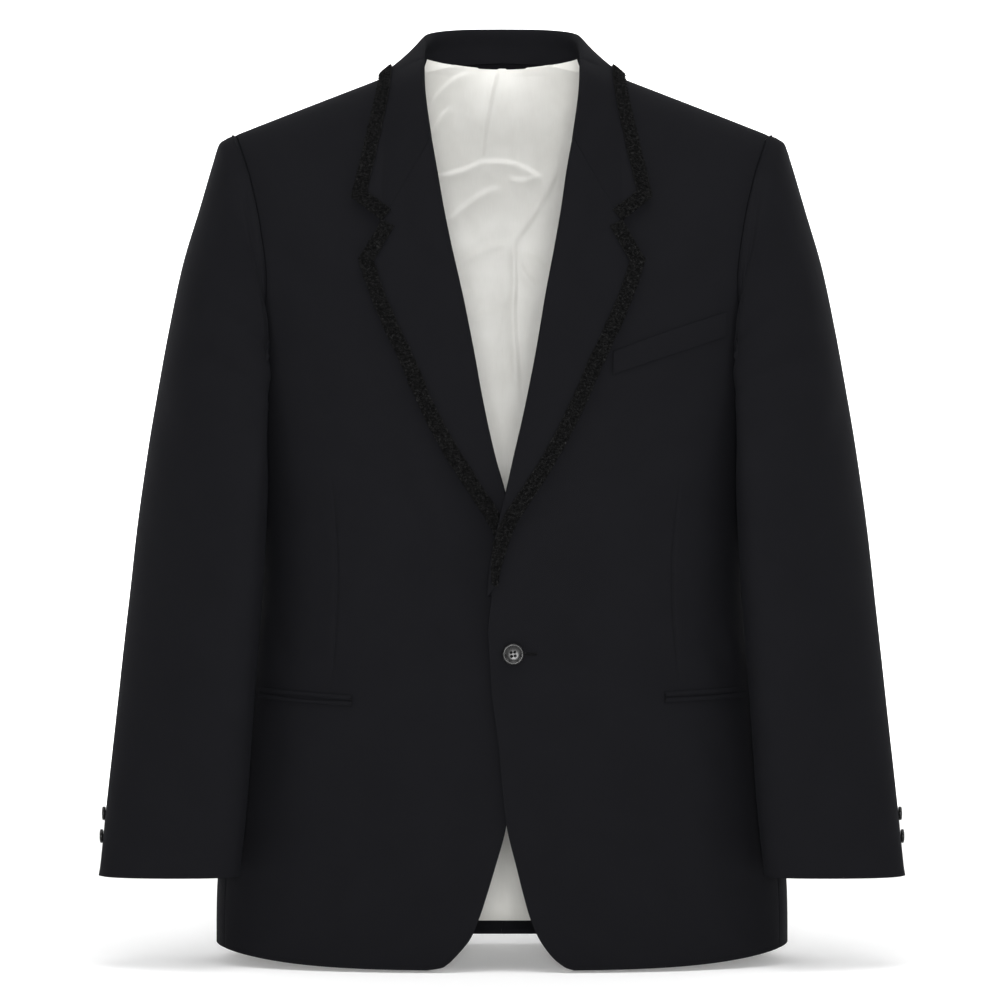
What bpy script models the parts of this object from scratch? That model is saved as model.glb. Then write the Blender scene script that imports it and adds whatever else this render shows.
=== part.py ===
"""A man's one-button evening blazer, filled out as if it were worn, with nobody in it.

Metres, +Z up. The wearer faces -Y and the wearer's left is +X. The origin is in the
middle of the neck opening, level with the points where the shoulder seams meet the
collar. Below, sizes are in millimetres, and half of the coat is drawn at +X and then
mirrored, with the places where the two sides differ in columns of their own.

The cloth is a wall inside its outer face. The outer face of the body is worked out
from sections: a rounded oblong at each height, closed over the shoulders by a curve
that falls away from the shoulder seam to the front and to the back.
"""
import bpy
import numpy as np
from mathutils import Vector

MM = 0.001

# ---- driving dimensions (mm) -------------------------------------------------------
CLOTH = 2.0             # wool with its canvas and turned edges
THIN_CLOTH = 1.5        # a single layer: welt, jets
LINING_WALL = 1.0
BRAID_WALL = 1.8
SEAM_GAP = 0.8          # between the outer faces of two pieces that are sewn together
LAY_GAP = 0.3           # between a panel and what lies on it
BRAID_GAP = 0.9         # between an edge and its braid

FULLNESS = 2.6          # exponent of the body's section: 2 is an ellipse
NECK_POINT_X = 80.0     # where the shoulder seam meets the collar
NECK_POINT_Z = -2.0
SHOULDER_TIP_X = 230.0
SHOULDER_TIP_Z = -60.0
SHOULDER_FALL_FRONT = (225.0, 170.0)   # height of the shoulder's curve: neck, tip
SHOULDER_FALL_BACK = 165.0
BACK_NECK_Y = 75.0      # middle of the back neck seam
BACK_NECK_Z = 12.0
SIDE_SEAM_SHARE = 0.96  # share of the half width where front and back end

# Heights of the body's sections, their half width and their depths from the side line.
BODY_COLUMNS = ("z", "half_width", "front_depth", "back_depth")
BODY = (
    (60, 262, 100, 98),
    (-60, 257, 104, 104),
    (-150, 242, 110, 108),
    (-262, 221, 114, 104),
    (-340, 214, 117, 94),
    (-430, 210, 118, 88),
    (-520, 219, 117, 94),
    (-620, 235, 114, 103),
    (-700, 244, 112, 106),
    (-770, 245, 110, 108),
)

# The hem: middle of the front, side, middle of the back.
HEM_FRONT_Z = -764.3
HEM_SIDE_Z = -750.8
HEM_BACK_Z = -758.5
HEM_SPRING_Z = -690.0   # the rows bend towards the hem below this height

# The front's free edge and, above the break, its roll line: x of each front by height.
# The left front buttons over the right one.
EDGE_COLUMNS = ("z", "left", "right")
EDGE = (
    (-764.3, 60.0, 62.0),
    (-762.7, 54.5, 52.0),
    (-759.4, 49.0, 45.5),
    (-754.0, 42.5, 39.5),
    (-748.0, 37.5, 34.0),
    (-740.0, 32.0, 27.5),
    (-725.0, 25.0, 20.5),
    (-700.0, 17.5, 12.0),
    (-680.0, 12.5, 6.0),
    (-645.0, 4.0, -3.5),
    (-609.0, 0.0, -7.0),
    (-567.0, -4.0, -9.0),
    (-539.0, -8.0, -11.0),
    (-500.0, -10.5, -12.0),
    (-453.0, -12.5, -13.0),
    (-435.0, -11.2, -12.0),
    (-406.0, -6.0, -9.0),
    (-391.0, -2.5, -7.0),
    (-365.0, 3.4, -2.5),
    (-342.0, 8.5, 4.1),
    (-299.0, 18.3, 14.0),
    (-249.0, 28.2, 23.2),
    (-199.0, 36.6, 33.2),
    (-165.0, 43.0, 41.0),
    (-131.0, 49.0, 48.0),
    (-97.0, 54.0, 54.0),
    (-72.0, 58.5, 58.5),
)
BREAK_Z = -453.0        # where the lapel starts to roll
GORGE_ROLL_Z = -72.0    # where the collar seam crosses the roll line

# The neck edge of the front above the gorge, under the collar.
NECK_EDGE = ((-72.0, 64.0), (-54.0, 68.5), (-32.0, 73.5), (-12.0, 78.0), (-2.0, 80.6))

# How far the left front stands out, and the right one in, where they overlap.
OVERLAP_COLUMNS = ("z", "left_out", "right_in")
OVERLAP = (
    (-764.0, 0.0, 0.0),
    (-700.0, 1.0, 1.0),
    (-650.0, 2.4, 2.0),
    (-520.0, 3.6, 2.4),
    (-453.0, 7.0, 4.0),
    (-400.0, 9.0, 5.0),
    (-365.0, 7.0, 4.5),
    (-320.0, 2.5, 2.0),
    (-270.0, 0.0, 0.0),
)
OVERLAP_REACH = 75.0    # it fades out this far past the centre

# The lapel's outer edge from the break up to its tip.
LAPEL_EDGE = (
    (-453.0, -9.5),
    (-436.0, -5.5),
    (-421.0, -1.0),
    (-406.0, 4.5),
    (-391.0, 12.0),
    (-376.0, 21.5),
    (-361.0, 31.5),
    (-335.0, 47.5),
    (-293.0, 69.0),
    (-257.0, 84.5),
    (-230.0, 97.0),
    (-200.0, 109.5),
    (-174.0, 118.0),
)
NOTCH_X = 99.0          # inner corner of the notch
LAPEL_LIFT = 4.4        # outer face of the lapel above the front
LAPEL_ROLL = 2.2        # and this much more at its roll
EDGE_SETBACK = 4.0      # the front's own edge inside the roll
FACING_GAP = 1.4        # between the front's wall and the facing behind it
FACING_WIDTH = 24.0     # the lapel's cloth turned inside the front's edge
ROLL_STEPS = (1.0, 4.0)  # first points of the lapel past its roll line
LEAST_LAPEL = 8.0       # its width at the break

# The armhole: x by angle, seen from the side, 0 at the shoulder and 90 in front.
ARMHOLE_MID_Z = -161.0
ARMHOLE_HALF_HEIGHT = 101.0
ARMHOLE_FRONT_END = 140.0
ARMHOLE_BACK_START = 220.0
ARMHOLE_X = (
    (0, 230.0),
    (30, 222.5),
    (55, 212.5),
    (80, 203.5),
    (110, 198.0),
    (125, 201.0),
    (140, 213.0),
    (220, 213.0),
    (250, 206.0),
    (280, 208.0),
    (305, 214.0),
    (330, 222.5),
    (360, 230.0),
)

# Rings of the sleeve from the armhole to the cuff. inner and outer are its points next
# to the body and away from it, half_depth is half its size front to back, and bow is
# how much of the armhole's own outline is left in the ring. hang is how far the cloth
# in front of the underarm hangs in over the body.
SLEEVE_COLUMNS = ("inner_x", "inner_y", "inner_z", "outer_x", "outer_y", "outer_z",
                  "half_depth", "bow", "hang")
SLEEVE = (
    (221.6, 0.0, -262.6, 231.2, 0.0, -60.2, 72.0, 1.0, 0.0),
    (224.0, -0.5, -264.5, 238.0, 0.0, -62.6, 73.0, 0.96, 0.0),
    (225.5, -1.5, -267.5, 243.6, 0.0, -68.5, 74.0, 0.88, 3.0),
    (226.0, -4.0, -272.0, 249.0, 0.0, -84.0, 74.0, 0.76, 10.0),
    (225.0, -10.0, -279.0, 261.0, 0.0, -122.0, 72.0, 0.55, 19.0),
    (221.0, -21.0, -289.0, 275.0, 1.0, -172.0, 68.5, 0.35, 24.0),
    (213.0, -38.0, -302.0, 286.0, 2.0, -225.0, 64.0, 0.17, 21.0),
    (204.0, -57.0, -322.0, 295.5, 2.0, -278.0, 58.0, 0.05, 14.0),
    (198.0, -72.0, -352.0, 304.0, 0.0, -330.0, 53.0, 0.0, 5.0),
    (195.0, -82.0, -405.0, 313.0, -6.0, -397.0, 47.0, 0.0, 0.0),
    (195.0, -88.0, -470.0, 320.0, -16.0, -467.0, 43.0, 0.0, 0.0),
    (199.5, -91.0, -550.0, 327.0, -32.0, -546.0, 39.0, 0.0, 0.0),
    (208.0, -93.0, -630.0, 334.0, -50.0, -625.0, 34.0, 0.0, 0.0),
    (217.0, -94.0, -691.0, 339.0, -66.0, -688.0, 29.0, 0.0, 0.0),
)
SLEEVE_FULLNESS = 2.3
CUFF_RING_STEP = 63.0   # height between the last two rings
ARMHOLE_GAP = 1.8       # between the outer faces of the body and of the sleeve's first ring
SLEEVE_CLEARANCE = 5.0  # from the outer face of the body
# Sleeve seams as angles round the ring, at the armhole and at the cuff.
FRONT_SEAM = (160.0, 196.0)
BACK_SEAM = (296.0, 334.0)
SLEEVE_GAP = 1.3        # degrees, each side of a seam

# The collar from the middle of the back to its front end: neck seam, fold and edge.
COLLAR_COLUMNS = ("neck_x", "neck_y", "neck_z", "fold_x", "fold_y", "fold_z",
                  "edge_x", "edge_y", "edge_z")
COLLAR = (
    (0.0, 73.0, 12.9, 0.0, 77.0, 42.0, 0.0, 100.0, -12.0),
    (31.0, 66.6, 10.9, 34.0, 71.0, 40.5, 50.0, 84.0, -10.5),
    (54.5, 51.5, 6.3, 57.0, 55.0, 36.0, 82.0, 55.0, -8.0),
    (69.5, 31.0, 2.2, 66.0, 30.0, 28.5, 98.0, 26.0, -6.0),
    (77.6, 1.0, -0.6, 68.5, 1.0, 14.5, 102.0, -10.0, -6.5),
    (75.2, -31.0, -10.5, 67.0, -33.0, -7.0, 106.0, -46.0, -33.0),
    (70.4, -53.0, -31.0, 64.5, -58.0, -34.0, 112.5, -70.0, -68.0),
    (64.5, -74.0, -66.0, 58.5, -82.0, -70.5, 124.5, -88.0, -121.5),
)
COLLAR_END = 0.992      # it stops just short of the lapel, at the gorge seam
COLLAR_LIFT = 4.4       # outer face of the fall above the body
FOLD_WIDTH = 7.5        # from the stand's face to the fall's, over the fold
NOTCH_SHARE = 0.71      # where the notch's corner lies along the collar's front end
NOTCH_DROP = (-6.0, 0.0, -33.5)  # and how far it lies from the line from fold to tip

BRAID_WIDTH = 11.5
LAPEL_BRAID_END, COLLAR_BRAID_END = 0.036, 0.045   # its width at the notch, as shares

# Chest welt: x, top and bottom of its two ends.
WELT = ((92.0, -249.8, -269.5), (188.0, -215.5, -236.5))

# Hip pockets: side, then x and z of the mouth's inner and outer ends.
POCKETS = (
    ("left", 135.0, -537.6, 203.0, -535.0),
    ("right", 124.5, -540.4, 204.0, -536.0),
)
JET_HEIGHT = 4.4
MOUTH_GAP = 0.6

BUTTON_DIAMETER = 18.0
BUTTON_THICKNESS = 3.6
BUTTON_X = 9.2
BUTTON_Z = -500.9
BUTTON_SHANK = 0.8      # thread between the button and the cloth
CUFF_BUTTON_DIAMETER = 12.0
CUFF_BUTTON_THICKNESS = 3.0
CUFF_BUTTON_RISES = (32.0, 50.5)        # centres above the cuff's edge
CUFF_BUTTON_ANGLE = 352.0

LINING_GAP = 2.0        # between the back's wall and the lining
LINING_HEM = 12.5       # the back's turned hem that shows below the lining
LINING_SEAMS = (3.4, 3.6)        # between two linings, behind the back and the side

BLACK_WOOL = (0.012, 0.012, 0.014)
BLACK_BRAID = (0.008, 0.008, 0.009)
OFF_WHITE_SATIN = (0.70, 0.69, 0.65)
BLACK_BUTTON = (0.010, 0.010, 0.011)


# ---- curves and sections -----------------------------------------------------------
def smooth(at, knots, values):
    """Values at 'at' on a smooth curve through rising or falling knots."""
    knots = np.asarray(knots, float)
    values = np.asarray(values, float)
    if knots[0] > knots[-1]:
        knots = knots[::-1]
        values = values[::-1]
    at = np.clip(at, knots[0], knots[-1])
    slopes = np.gradient(values, knots, axis=0)
    left = np.clip(np.searchsorted(knots, at, side="right") - 1, 0, len(knots) - 2)
    width = knots[left + 1] - knots[left]
    t = (at - knots[left]) / width
    if values.ndim > 1:
        t = t[..., None]
        width = width[..., None]
    return ((2 * t**3 - 3 * t**2 + 1) * values[left] + (t**3 - 2 * t**2 + t) * width * slopes[left]
            + (3 * t**2 - 2 * t**3) * values[left + 1] + (t**3 - t**2) * width * slopes[left + 1])


def column(table, columns, name, at, key="z"):
    """One named column of a table, smoothly between its rows."""
    keys = [row[columns.index(key)] for row in table]
    return smooth(at, keys, [row[columns.index(name)] for row in table])


def shoulder_z(x):
    """Height of the shoulder seam, and of its straight line carried on to the neck."""
    slope = (SHOULDER_TIP_Z - NECK_POINT_Z) / (SHOULDER_TIP_X - NECK_POINT_X)
    return NECK_POINT_Z + slope * (np.abs(x) - NECK_POINT_X)


def section_share(x, z):
    """Depth at x of the rounded oblong section, as a share of its depth at the middle."""
    ratio = np.clip(np.abs(x) / column(BODY, BODY_COLUMNS, "half_width", z), 0, 1)
    return (1 - ratio**FULLNESS) ** (1 / FULLNESS)


def fall_away(t):
    """0 at the shoulder seam and 1 where the shoulder has run into the body."""
    return np.sqrt(1 - (1 - np.clip(t, 0, 1)) ** 2)


def front_y(x, z):
    """Outer face of the front at x, z."""
    x = np.abs(x)
    reach = np.interp(x, (NECK_POINT_X, SHOULDER_TIP_X), SHOULDER_FALL_FRONT)
    depth = column(BODY, BODY_COLUMNS, "front_depth", z) * section_share(x, z)
    return -depth * fall_away((shoulder_z(x) - z) / reach)


def back_top(x):
    """Height and depth of the back's upper edge: the neck seam, then the shoulder."""
    x = np.abs(x)
    in_neck = np.clip(1 - (x / NECK_POINT_X) ** 2, 0, 1)
    neck_z = NECK_POINT_Z + (BACK_NECK_Z - NECK_POINT_Z) * in_neck
    top_z = np.where(x < NECK_POINT_X, neck_z, shoulder_z(x))
    return top_z, BACK_NECK_Y * np.sqrt(in_neck)


def back_y(x, z):
    """Outer face of the back at x, z."""
    x = np.abs(x)
    top_z, top_y = back_top(x)
    depth = column(BODY, BODY_COLUMNS, "back_depth", z) * section_share(x, z)
    t = np.clip((top_z - z) / SHOULDER_FALL_BACK, 0, 1)
    return np.hypot(top_y * (1 - t) ** 2, depth * fall_away(t))


def side_x(y, z):
    """Outer face of the body's side at depth y."""
    front = column(BODY, BODY_COLUMNS, "front_depth", z)
    back = column(BODY, BODY_COLUMNS, "back_depth", z)
    ratio = np.clip(np.abs(y) / np.where(y < 0, front, back), 0, 1)
    return column(BODY, BODY_COLUMNS, "half_width", z) * (1 - ratio**FULLNESS) ** (1 / FULLNESS)


def hem_z(x, middle_z):
    """Height of the hem at x, from its height at the middle to that at the side."""
    return middle_z + (HEM_SIDE_Z - middle_z) * (np.abs(x) / 245.0) ** 4


def armhole_x(angle):
    return smooth(angle, [row[0] for row in ARMHOLE_X], [row[1] for row in ARMHOLE_X])


def armhole_z(angle):
    return ARMHOLE_MID_Z + ARMHOLE_HALF_HEIGHT * np.cos(np.radians(angle))


def armhole_angle(z):
    """Angle of the armhole's front half at height z; its back half mirrors it."""
    return np.degrees(np.arccos(np.clip((z - ARMHOLE_MID_Z) / ARMHOLE_HALF_HEIGHT, -1, 1)))


UNDERARM_Z = float(armhole_z(ARMHOLE_FRONT_END))


def side_seams(z):
    """Depths y of the seams between the side panel and the front and the back."""
    x = SIDE_SEAM_SHARE * column(BODY, BODY_COLUMNS, "half_width", z)
    share = section_share(x, z)
    return (-column(BODY, BODY_COLUMNS, "front_depth", z) * share,
            column(BODY, BODY_COLUMNS, "back_depth", z) * share)


def armhole(angle):
    """The armhole as a loop on the body: front edge, side panel's top, back edge."""
    angle = np.asarray(angle, float) % 360
    z = armhole_z(angle)
    x = armhole_x(angle)
    y_front, y_back = side_seams(np.full_like(angle, UNDERARM_Z))
    share = np.clip((angle - ARMHOLE_FRONT_END) / (ARMHOLE_BACK_START - ARMHOLE_FRONT_END), 0, 1)
    y_side = y_front + share * (y_back - y_front)
    below = (angle > ARMHOLE_FRONT_END) & (angle < ARMHOLE_BACK_START)
    y = np.where(angle <= 180, front_y(x, z), back_y(x, z))
    y = np.where(below, y_side, y)
    x = np.where(below, side_x(y_side, z), x)
    return np.stack([x, y, z], axis=-1)


# ---- fronts, sides and back --------------------------------------------------------
def overlap_shift(x, z, side):
    """How far the front moves in y where the fronts overlap: out is negative."""
    amount = (-column(OVERLAP, OVERLAP_COLUMNS, "left_out", z) if side == "left"
              else column(OVERLAP, OVERLAP_COLUMNS, "right_in", z))
    fade = np.clip(1 - x / OVERLAP_REACH, 0, 1)
    return amount * fade * fade * (3 - 2 * fade)


def front_face(x, z, side):
    """Outer face of one front as a point, x being positive on its own side."""
    return np.stack([x, front_y(x, z) + overlap_shift(x, z, side), z], axis=-1)


def on_front(x, z, side, distance):
    """Points on a front moved out of its outer face by a distance."""
    step = 0.5
    point = front_face(x, z, side)
    across = front_face(x + step, z, side) - front_face(x - step, z, side)
    upward = front_face(x, z + step, side) - front_face(x, z - step, side)
    normal = np.cross(across, upward)
    normal /= np.linalg.norm(normal, axis=-1, keepdims=True)
    return point + normal * np.asarray(distance)[..., None]


def roll_x(z, side):
    """x of the front's free edge and roll line."""
    return column(EDGE, EDGE_COLUMNS, side, z)


def front_edge_x(z, side):
    """x of the front panel's own edge: set back inside the roll of the lapel."""
    setback = np.interp(z, (BREAK_Z - 30, BREAK_Z - 3), (0.0, EDGE_SETBACK))
    edge = roll_x(z, side) + setback
    neck = smooth(z, [row[0] for row in NECK_EDGE], [row[1] for row in NECK_EDGE])
    return np.where(z > GORGE_ROLL_Z, neck, np.minimum(edge, neck + 2))


def front_panel(side, cols=10):
    """Rows from the hem to the shoulder seam, each from the free edge to the side."""
    s = np.linspace(0, 1, cols)
    rows = []
    corner = [row[0] for row in EDGE if row[0] < HEM_SPRING_Z]
    straight = [*np.linspace(HEM_SPRING_Z, -480, 6), *np.linspace(-450, -350, 5), -310, -270]
    for z in corner + straight + [UNDERARM_Z]:
        start = float(front_edge_x(np.array(z), side))
        end = SIDE_SEAM_SHARE * float(column(BODY, BODY_COLUMNS, "half_width", z)) - SEAM_GAP / 2
        x = start + (end - start) * s
        lift = np.clip((z - HEM_SPRING_Z) / (HEM_FRONT_Z - HEM_SPRING_Z), 0, 1)
        height = z + lift * (hem_z(x, HEM_FRONT_Z) - HEM_FRONT_Z)
        rows.append(front_face(x, height, side))
    for v in 1 - (1 - np.linspace(0, 1, 12)[1:]) ** 1.8:
        end_z = UNDERARM_Z + v * (SHOULDER_TIP_Z - UNDERARM_Z)
        start_z = UNDERARM_Z + v * (NECK_POINT_Z - UNDERARM_Z)
        z = start_z + (end_z - start_z) * s
        end = float(armhole_x(armhole_angle(end_z))) - 0.2
        x = float(front_edge_x(np.array(start_z), side)) * (1 - s) + end * s
        point = front_face(x, z, side)
        point[:, 1] = np.minimum(point[:, 1], -0.9)
        rows.append(point)
    return np.array(rows)


def back_panel(cols=10, levels=12, rise=0.0, gap=SEAM_GAP):
    """Rows from the hem to the neck and shoulder, each from the centre seam outwards."""
    neck_share = NECK_POINT_X / SHOULDER_TIP_X
    round_neck = np.sin(np.linspace(0, np.pi / 2, cols // 2)) * neck_share
    s = np.concatenate([round_neck, np.linspace(neck_share, 1, cols - cols // 2 + 1)[1:]])
    rows = []
    for z in list(np.linspace(HEM_BACK_Z + rise, -270, levels)) + [UNDERARM_Z]:
        end = SIDE_SEAM_SHARE * float(column(BODY, BODY_COLUMNS, "half_width", z)) - gap / 2
        x = gap / 2 + (end - gap / 2) * s
        lift = np.clip((z - HEM_SPRING_Z) / (HEM_BACK_Z - HEM_SPRING_Z), 0, 1)
        height = z + lift * (hem_z(x, HEM_BACK_Z) - HEM_BACK_Z)
        rows.append(np.stack([x, back_y(x, height), height], axis=-1))
    for v in 1 - (1 - np.linspace(0, 1, 9)[1:]) ** 1.9:
        end_z = UNDERARM_Z + v * (SHOULDER_TIP_Z - UNDERARM_Z)
        end = float(armhole_x(360 - armhole_angle(end_z))) - 0.2
        x = gap / 2 + (end - gap / 2) * s
        top_z, _ = back_top(x * (SHOULDER_TIP_X / end) ** v)
        z = UNDERARM_Z + v * (top_z - UNDERARM_Z)
        y = np.maximum(back_y(x, z), 0.9)
        rows.append(np.stack([x, y, z], axis=-1))
    return np.array(rows)


def side_panel(cols=7, levels=12, rise=0.0, gap=SEAM_GAP):
    """Rows from the hem to the underarm, each from the front seam to the back seam."""
    share = np.linspace(0, 1, cols)
    angle = ARMHOLE_FRONT_END + share * (ARMHOLE_BACK_START - ARMHOLE_FRONT_END)
    top = armhole_z(angle) - SEAM_GAP
    rows = []
    for v in np.linspace(0, 1, levels):
        z = top
        for _ in range(2):
            y_front, y_back = side_seams(z)
            y = y_front + gap / 2 + share * (y_back - y_front - gap)
            x = side_x(y, z)
            hem = np.where(y < 0, hem_z(x, HEM_FRONT_Z), hem_z(x, HEM_BACK_Z)) + rise
            z = hem + v * (top - hem)
        rows.append(np.stack([x, y, z], axis=-1))
    return np.array(rows)


# ---- sleeves -----------------------------------------------------------------------
def clear_of_body(point, clearance):
    """Points moved along the body's own normal until they are clear of its outer face."""
    x, y, z = point[..., 0], point[..., 1], point[..., 2]
    half_width = column(BODY, BODY_COLUMNS, "half_width", z)
    depth = np.where(y < 0, column(BODY, BODY_COLUMNS, "front_depth", z),
                     column(BODY, BODY_COLUMNS, "back_depth", z))
    ratio_x, ratio_y = x / half_width, y / depth
    level = ratio_x**FULLNESS + np.abs(ratio_y) ** FULLNESS
    grow_x = FULLNESS * ratio_x ** (FULLNESS - 1) / half_width
    grow_y = FULLNESS * np.sign(y) * np.abs(ratio_y) ** (FULLNESS - 1) / depth
    steep = np.hypot(grow_x, grow_y)
    short = np.maximum(clearance - (level - 1) / steep, 0)
    short = short * np.clip((UNDERARM_Z + 40 - z) / 50, 0, 1)
    moved = point.copy()
    moved[..., 0] += short * grow_x / steep
    moved[..., 1] += short * grow_y / steep
    return moved


def sleeve(down, angle):
    """A point of the sleeve: down is 0 at the armhole and 1 at the cuff."""
    at = np.asarray(down, float) * (len(SLEEVE) - 1)
    row = smooth(at, range(len(SLEEVE)), SLEEVE)
    inner = row[..., 0:3]
    outer = row[..., 3:6]
    half_depth = row[..., 6:7]
    bow = row[..., 7:8]
    turn = np.radians(angle)
    power = 2 / SLEEVE_FULLNESS
    across = (np.sign(np.cos(turn)) * np.abs(np.cos(turn)) ** power)[..., None]
    forward = (np.sign(np.sin(turn)) * np.abs(np.sin(turn)) ** power)[..., None]
    toward_front = np.array([0.0, -1.0, 0.0])
    ring = (inner + outer) / 2 + (outer - inner) / 2 * across + toward_front * half_depth * forward
    first = np.asarray(SLEEVE[0])
    plain = ((first[0:3] + first[3:6]) / 2 + (first[3:6] - first[0:3]) / 2 * across
             + toward_front * first[6] * forward)
    hole = armhole(angle) + np.array([ARMHOLE_GAP, 0.0, 0.0])
    point = ring + bow * (hole - plain)
    point[..., 0] -= row[..., 8] * np.exp(-((np.asarray(angle) - 138) / 34.0) ** 2)
    near = SLEEVE_CLEARANCE * np.clip(6 * np.asarray(down, float), 0, 1)
    for _ in range(2):
        point = clear_of_body(point, near)
    return point


def sleeve_piece(start_top, end_top, start_cuff, end_cuff, cols, levels=16):
    """A grid of one sleeve piece between two seams, given by their angles."""
    rows = []
    for down in np.linspace(0, 1, levels) ** 1.25:
        start = start_top + (start_cuff - start_top) * down
        end = end_top + (end_cuff - end_top) * down
        angle = np.linspace(start, end, cols)
        rows.append(sleeve(np.full_like(angle, down), angle))
    return np.array(rows)[::-1]


# ---- lapels, collar and braid ------------------------------------------------------
def lapel_rails(up, side):
    """Roll line and outer edge of the lapel, as x and z: up runs from the break."""
    up = np.asarray(up, float)
    roll_z = BREAK_Z + up * (GORGE_ROLL_Z - BREAK_Z)
    edge_top = LAPEL_EDGE[-1][0]
    edge_z = BREAK_Z + up * (edge_top - BREAK_Z)
    edge_x = smooth(edge_z, [row[0] for row in LAPEL_EDGE], [row[1] for row in LAPEL_EDGE])
    start_x = roll_x(roll_z, side)
    return start_x, roll_z, np.maximum(edge_x, start_x + LEAST_LAPEL), edge_z


def lapel_face(up, out, side):
    """Outer face of the lapel; out is 0 at the roll line and 1 at the edge."""
    start_x, start_z, end_x, end_z = lapel_rails(up, side)
    x = start_x + (end_x - start_x) * out
    z = start_z + (end_z - start_z) * out
    near_roll = np.exp(-np.abs(x - start_x) / 16.0)
    open_up = np.clip(np.asarray(up) * 6, 0.35, 1)
    lift = (LAPEL_LIFT + LAPEL_ROLL * near_roll) * open_up + (1 - open_up)
    return on_front(x, z, side, lift)


def lapel_piece(side, levels=21):
    """The lapel with its facing: inside the front's edge, round the roll and back out."""
    rows = []
    for up in np.linspace(0, 1, levels):
        near = np.array(ROLL_STEPS) / lapel_width(up, side)
        out = np.concatenate([near, near[1] + (1 - near[1]) * np.array([0.33, 0.67, 1.0])])
        rate = np.full_like(out, up)
        over = lapel_face(rate, out, side)
        start_x, start_z, _, _ = lapel_rails(rate, side)
        width = FACING_WIDTH * min(1.0, 0.5 + up * 4)
        inside_x = start_x[0] + np.array([width, width * 0.6, 4.4, 1.4])
        inside_z = np.full(4, start_z[0])
        depth = -(CLOTH * 2 + FACING_GAP)
        inner = on_front(inside_x, inside_z, side, np.array([depth, depth, depth, depth + 0.6]))
        nose = (inner[3:4] + over[0:1]) / 2
        nose[0, 0] = start_x[0]
        rows.append(np.concatenate([inner, nose, over]))
    return np.array(rows)


def collar_sections(along):
    """Neck seam, fold and edge of the collar: along is 0 at the back, 1 at its end."""
    at = np.asarray(along, float) * (len(COLLAR) - 1)
    row = smooth(at, range(len(COLLAR)), COLLAR)
    return row[..., 0:3], row[..., 3:6], row[..., 6:9]


def away_from_neck(along):
    """Level direction out of the neck's opening, turning from the back to the front."""
    turn = np.pi * np.asarray(along, float) ** 0.85
    return np.stack([np.sin(turn), np.cos(turn), np.zeros_like(turn)], axis=-1)


def collar_fall(along, out):
    """Outer face of the collar's fall; out is 0 at the fold and 1 at the edge."""
    _, fold, edge = collar_sections(along)
    away = away_from_neck(along)
    out = np.asarray(out, float)[..., None]
    along = np.asarray(along, float)[..., None]
    start = fold + away * FOLD_WIDTH
    start[..., 2] -= FOLD_WIDTH / 2 * (1 - np.minimum(along[..., 0], 1))
    point = start + (edge - start) * out
    outward = away * 0.8 + np.array([0.0, 0.0, 0.6])
    point = point + outward * 3.0 * np.sin(np.pi * out) * (1 - along**3)
    corner = np.array(NOTCH_DROP)
    peak = np.where(out < NOTCH_SHARE, out / NOTCH_SHARE, (1 - out) / (1 - NOTCH_SHARE))
    point = point + corner * peak * np.clip((along - 0.80) / 0.20, 0, 1) ** 2
    lift = COLLAR_LIFT + LAPEL_ROLL * np.exp(-out[..., 0] * 4)
    lying = on_front(point[..., 0], point[..., 2], "left", lift)
    share = np.clip((along - 0.60) / 0.22, 0, 1)
    return point * (1 - share) + lying * share


def collar_piece(levels=24):
    """The whole collar, end to end: up the stand, over the fold and down the fall."""
    out = np.array([0.0, 0.3, NOTCH_SHARE, 1.0])
    rows = []
    for along in np.linspace(0, COLLAR_END, levels):
        neck, fold, _ = collar_sections(np.array(along))
        fall = collar_fall(np.full_like(out, along), out)
        down = neck - fold
        inside = fold + down * min(0.5, FOLD_WIDTH / 2 / np.linalg.norm(down))
        crest = (fold + fall[0]) / 2
        crest[2] = fold[2]
        rows.append(np.concatenate([[neck, (neck + inside) / 2, inside, crest], fall]))
    return both_halves(np.array(rows))


def both_halves(rows):
    """Rows from the middle outwards at +X, joined to their mirror image."""
    mirrored = rows[:0:-1].copy()
    mirrored[..., 0] *= -1
    return np.concatenate([mirrored, rows])


def moved_out(face, along, out, distance, outward):
    """Points of a surface moved out of it by a distance, along its own normal."""
    step = 0.004
    point = face(along, out)
    run = face(np.minimum(along + step, 1), out) - face(np.maximum(along - step, 0), out)
    rise = face(along, np.minimum(out + step, 1)) - face(along, np.maximum(out - step, 0))
    normal = np.cross(run, rise)
    normal /= np.linalg.norm(normal, axis=-1, keepdims=True)
    normal *= np.sign(np.sum(normal * outward, axis=-1, keepdims=True))
    return point + normal * distance


def edge_strip(face, width_at, length_steps, end_out, end_inset, outward):
    """Braid along a surface's free edge and round its corner onto its end.

    face(along, out) is the surface that carries it. The strip's outer line is the edge
    itself, and its inner line runs a braid's width inside it; both turn at the corner.
    """
    last = length_steps[-1]
    inset = np.minimum(BRAID_WIDTH / width_at(length_steps), 0.85)
    inner_last = last - end_inset
    inner_steps = length_steps[0] + (length_steps - length_steps[0]) * (
        (inner_last - length_steps[0]) / (last - length_steps[0]))
    share = np.linspace(0, 1, 6)[1:]
    outer_end = 1 + (end_out - 1) * share
    inner_end = (1 - inset[-1]) + (end_out - (1 - inset[-1])) * share
    lines = (
        (np.concatenate([length_steps, np.full(5, last)]),
         np.concatenate([np.ones(len(length_steps)), outer_end])),
        (np.concatenate([inner_steps, np.full(5, inner_last)]),
         np.concatenate([1 - inset, inner_end])),
    )
    return np.array([moved_out(face, along, out, BRAID_GAP + BRAID_WALL, outward)
                     for along, out in lines])


def lapel_width(up, side):
    start_x, start_z, end_x, end_z = lapel_rails(up, side)
    return np.hypot(end_x - start_x, end_z - start_z)


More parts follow.
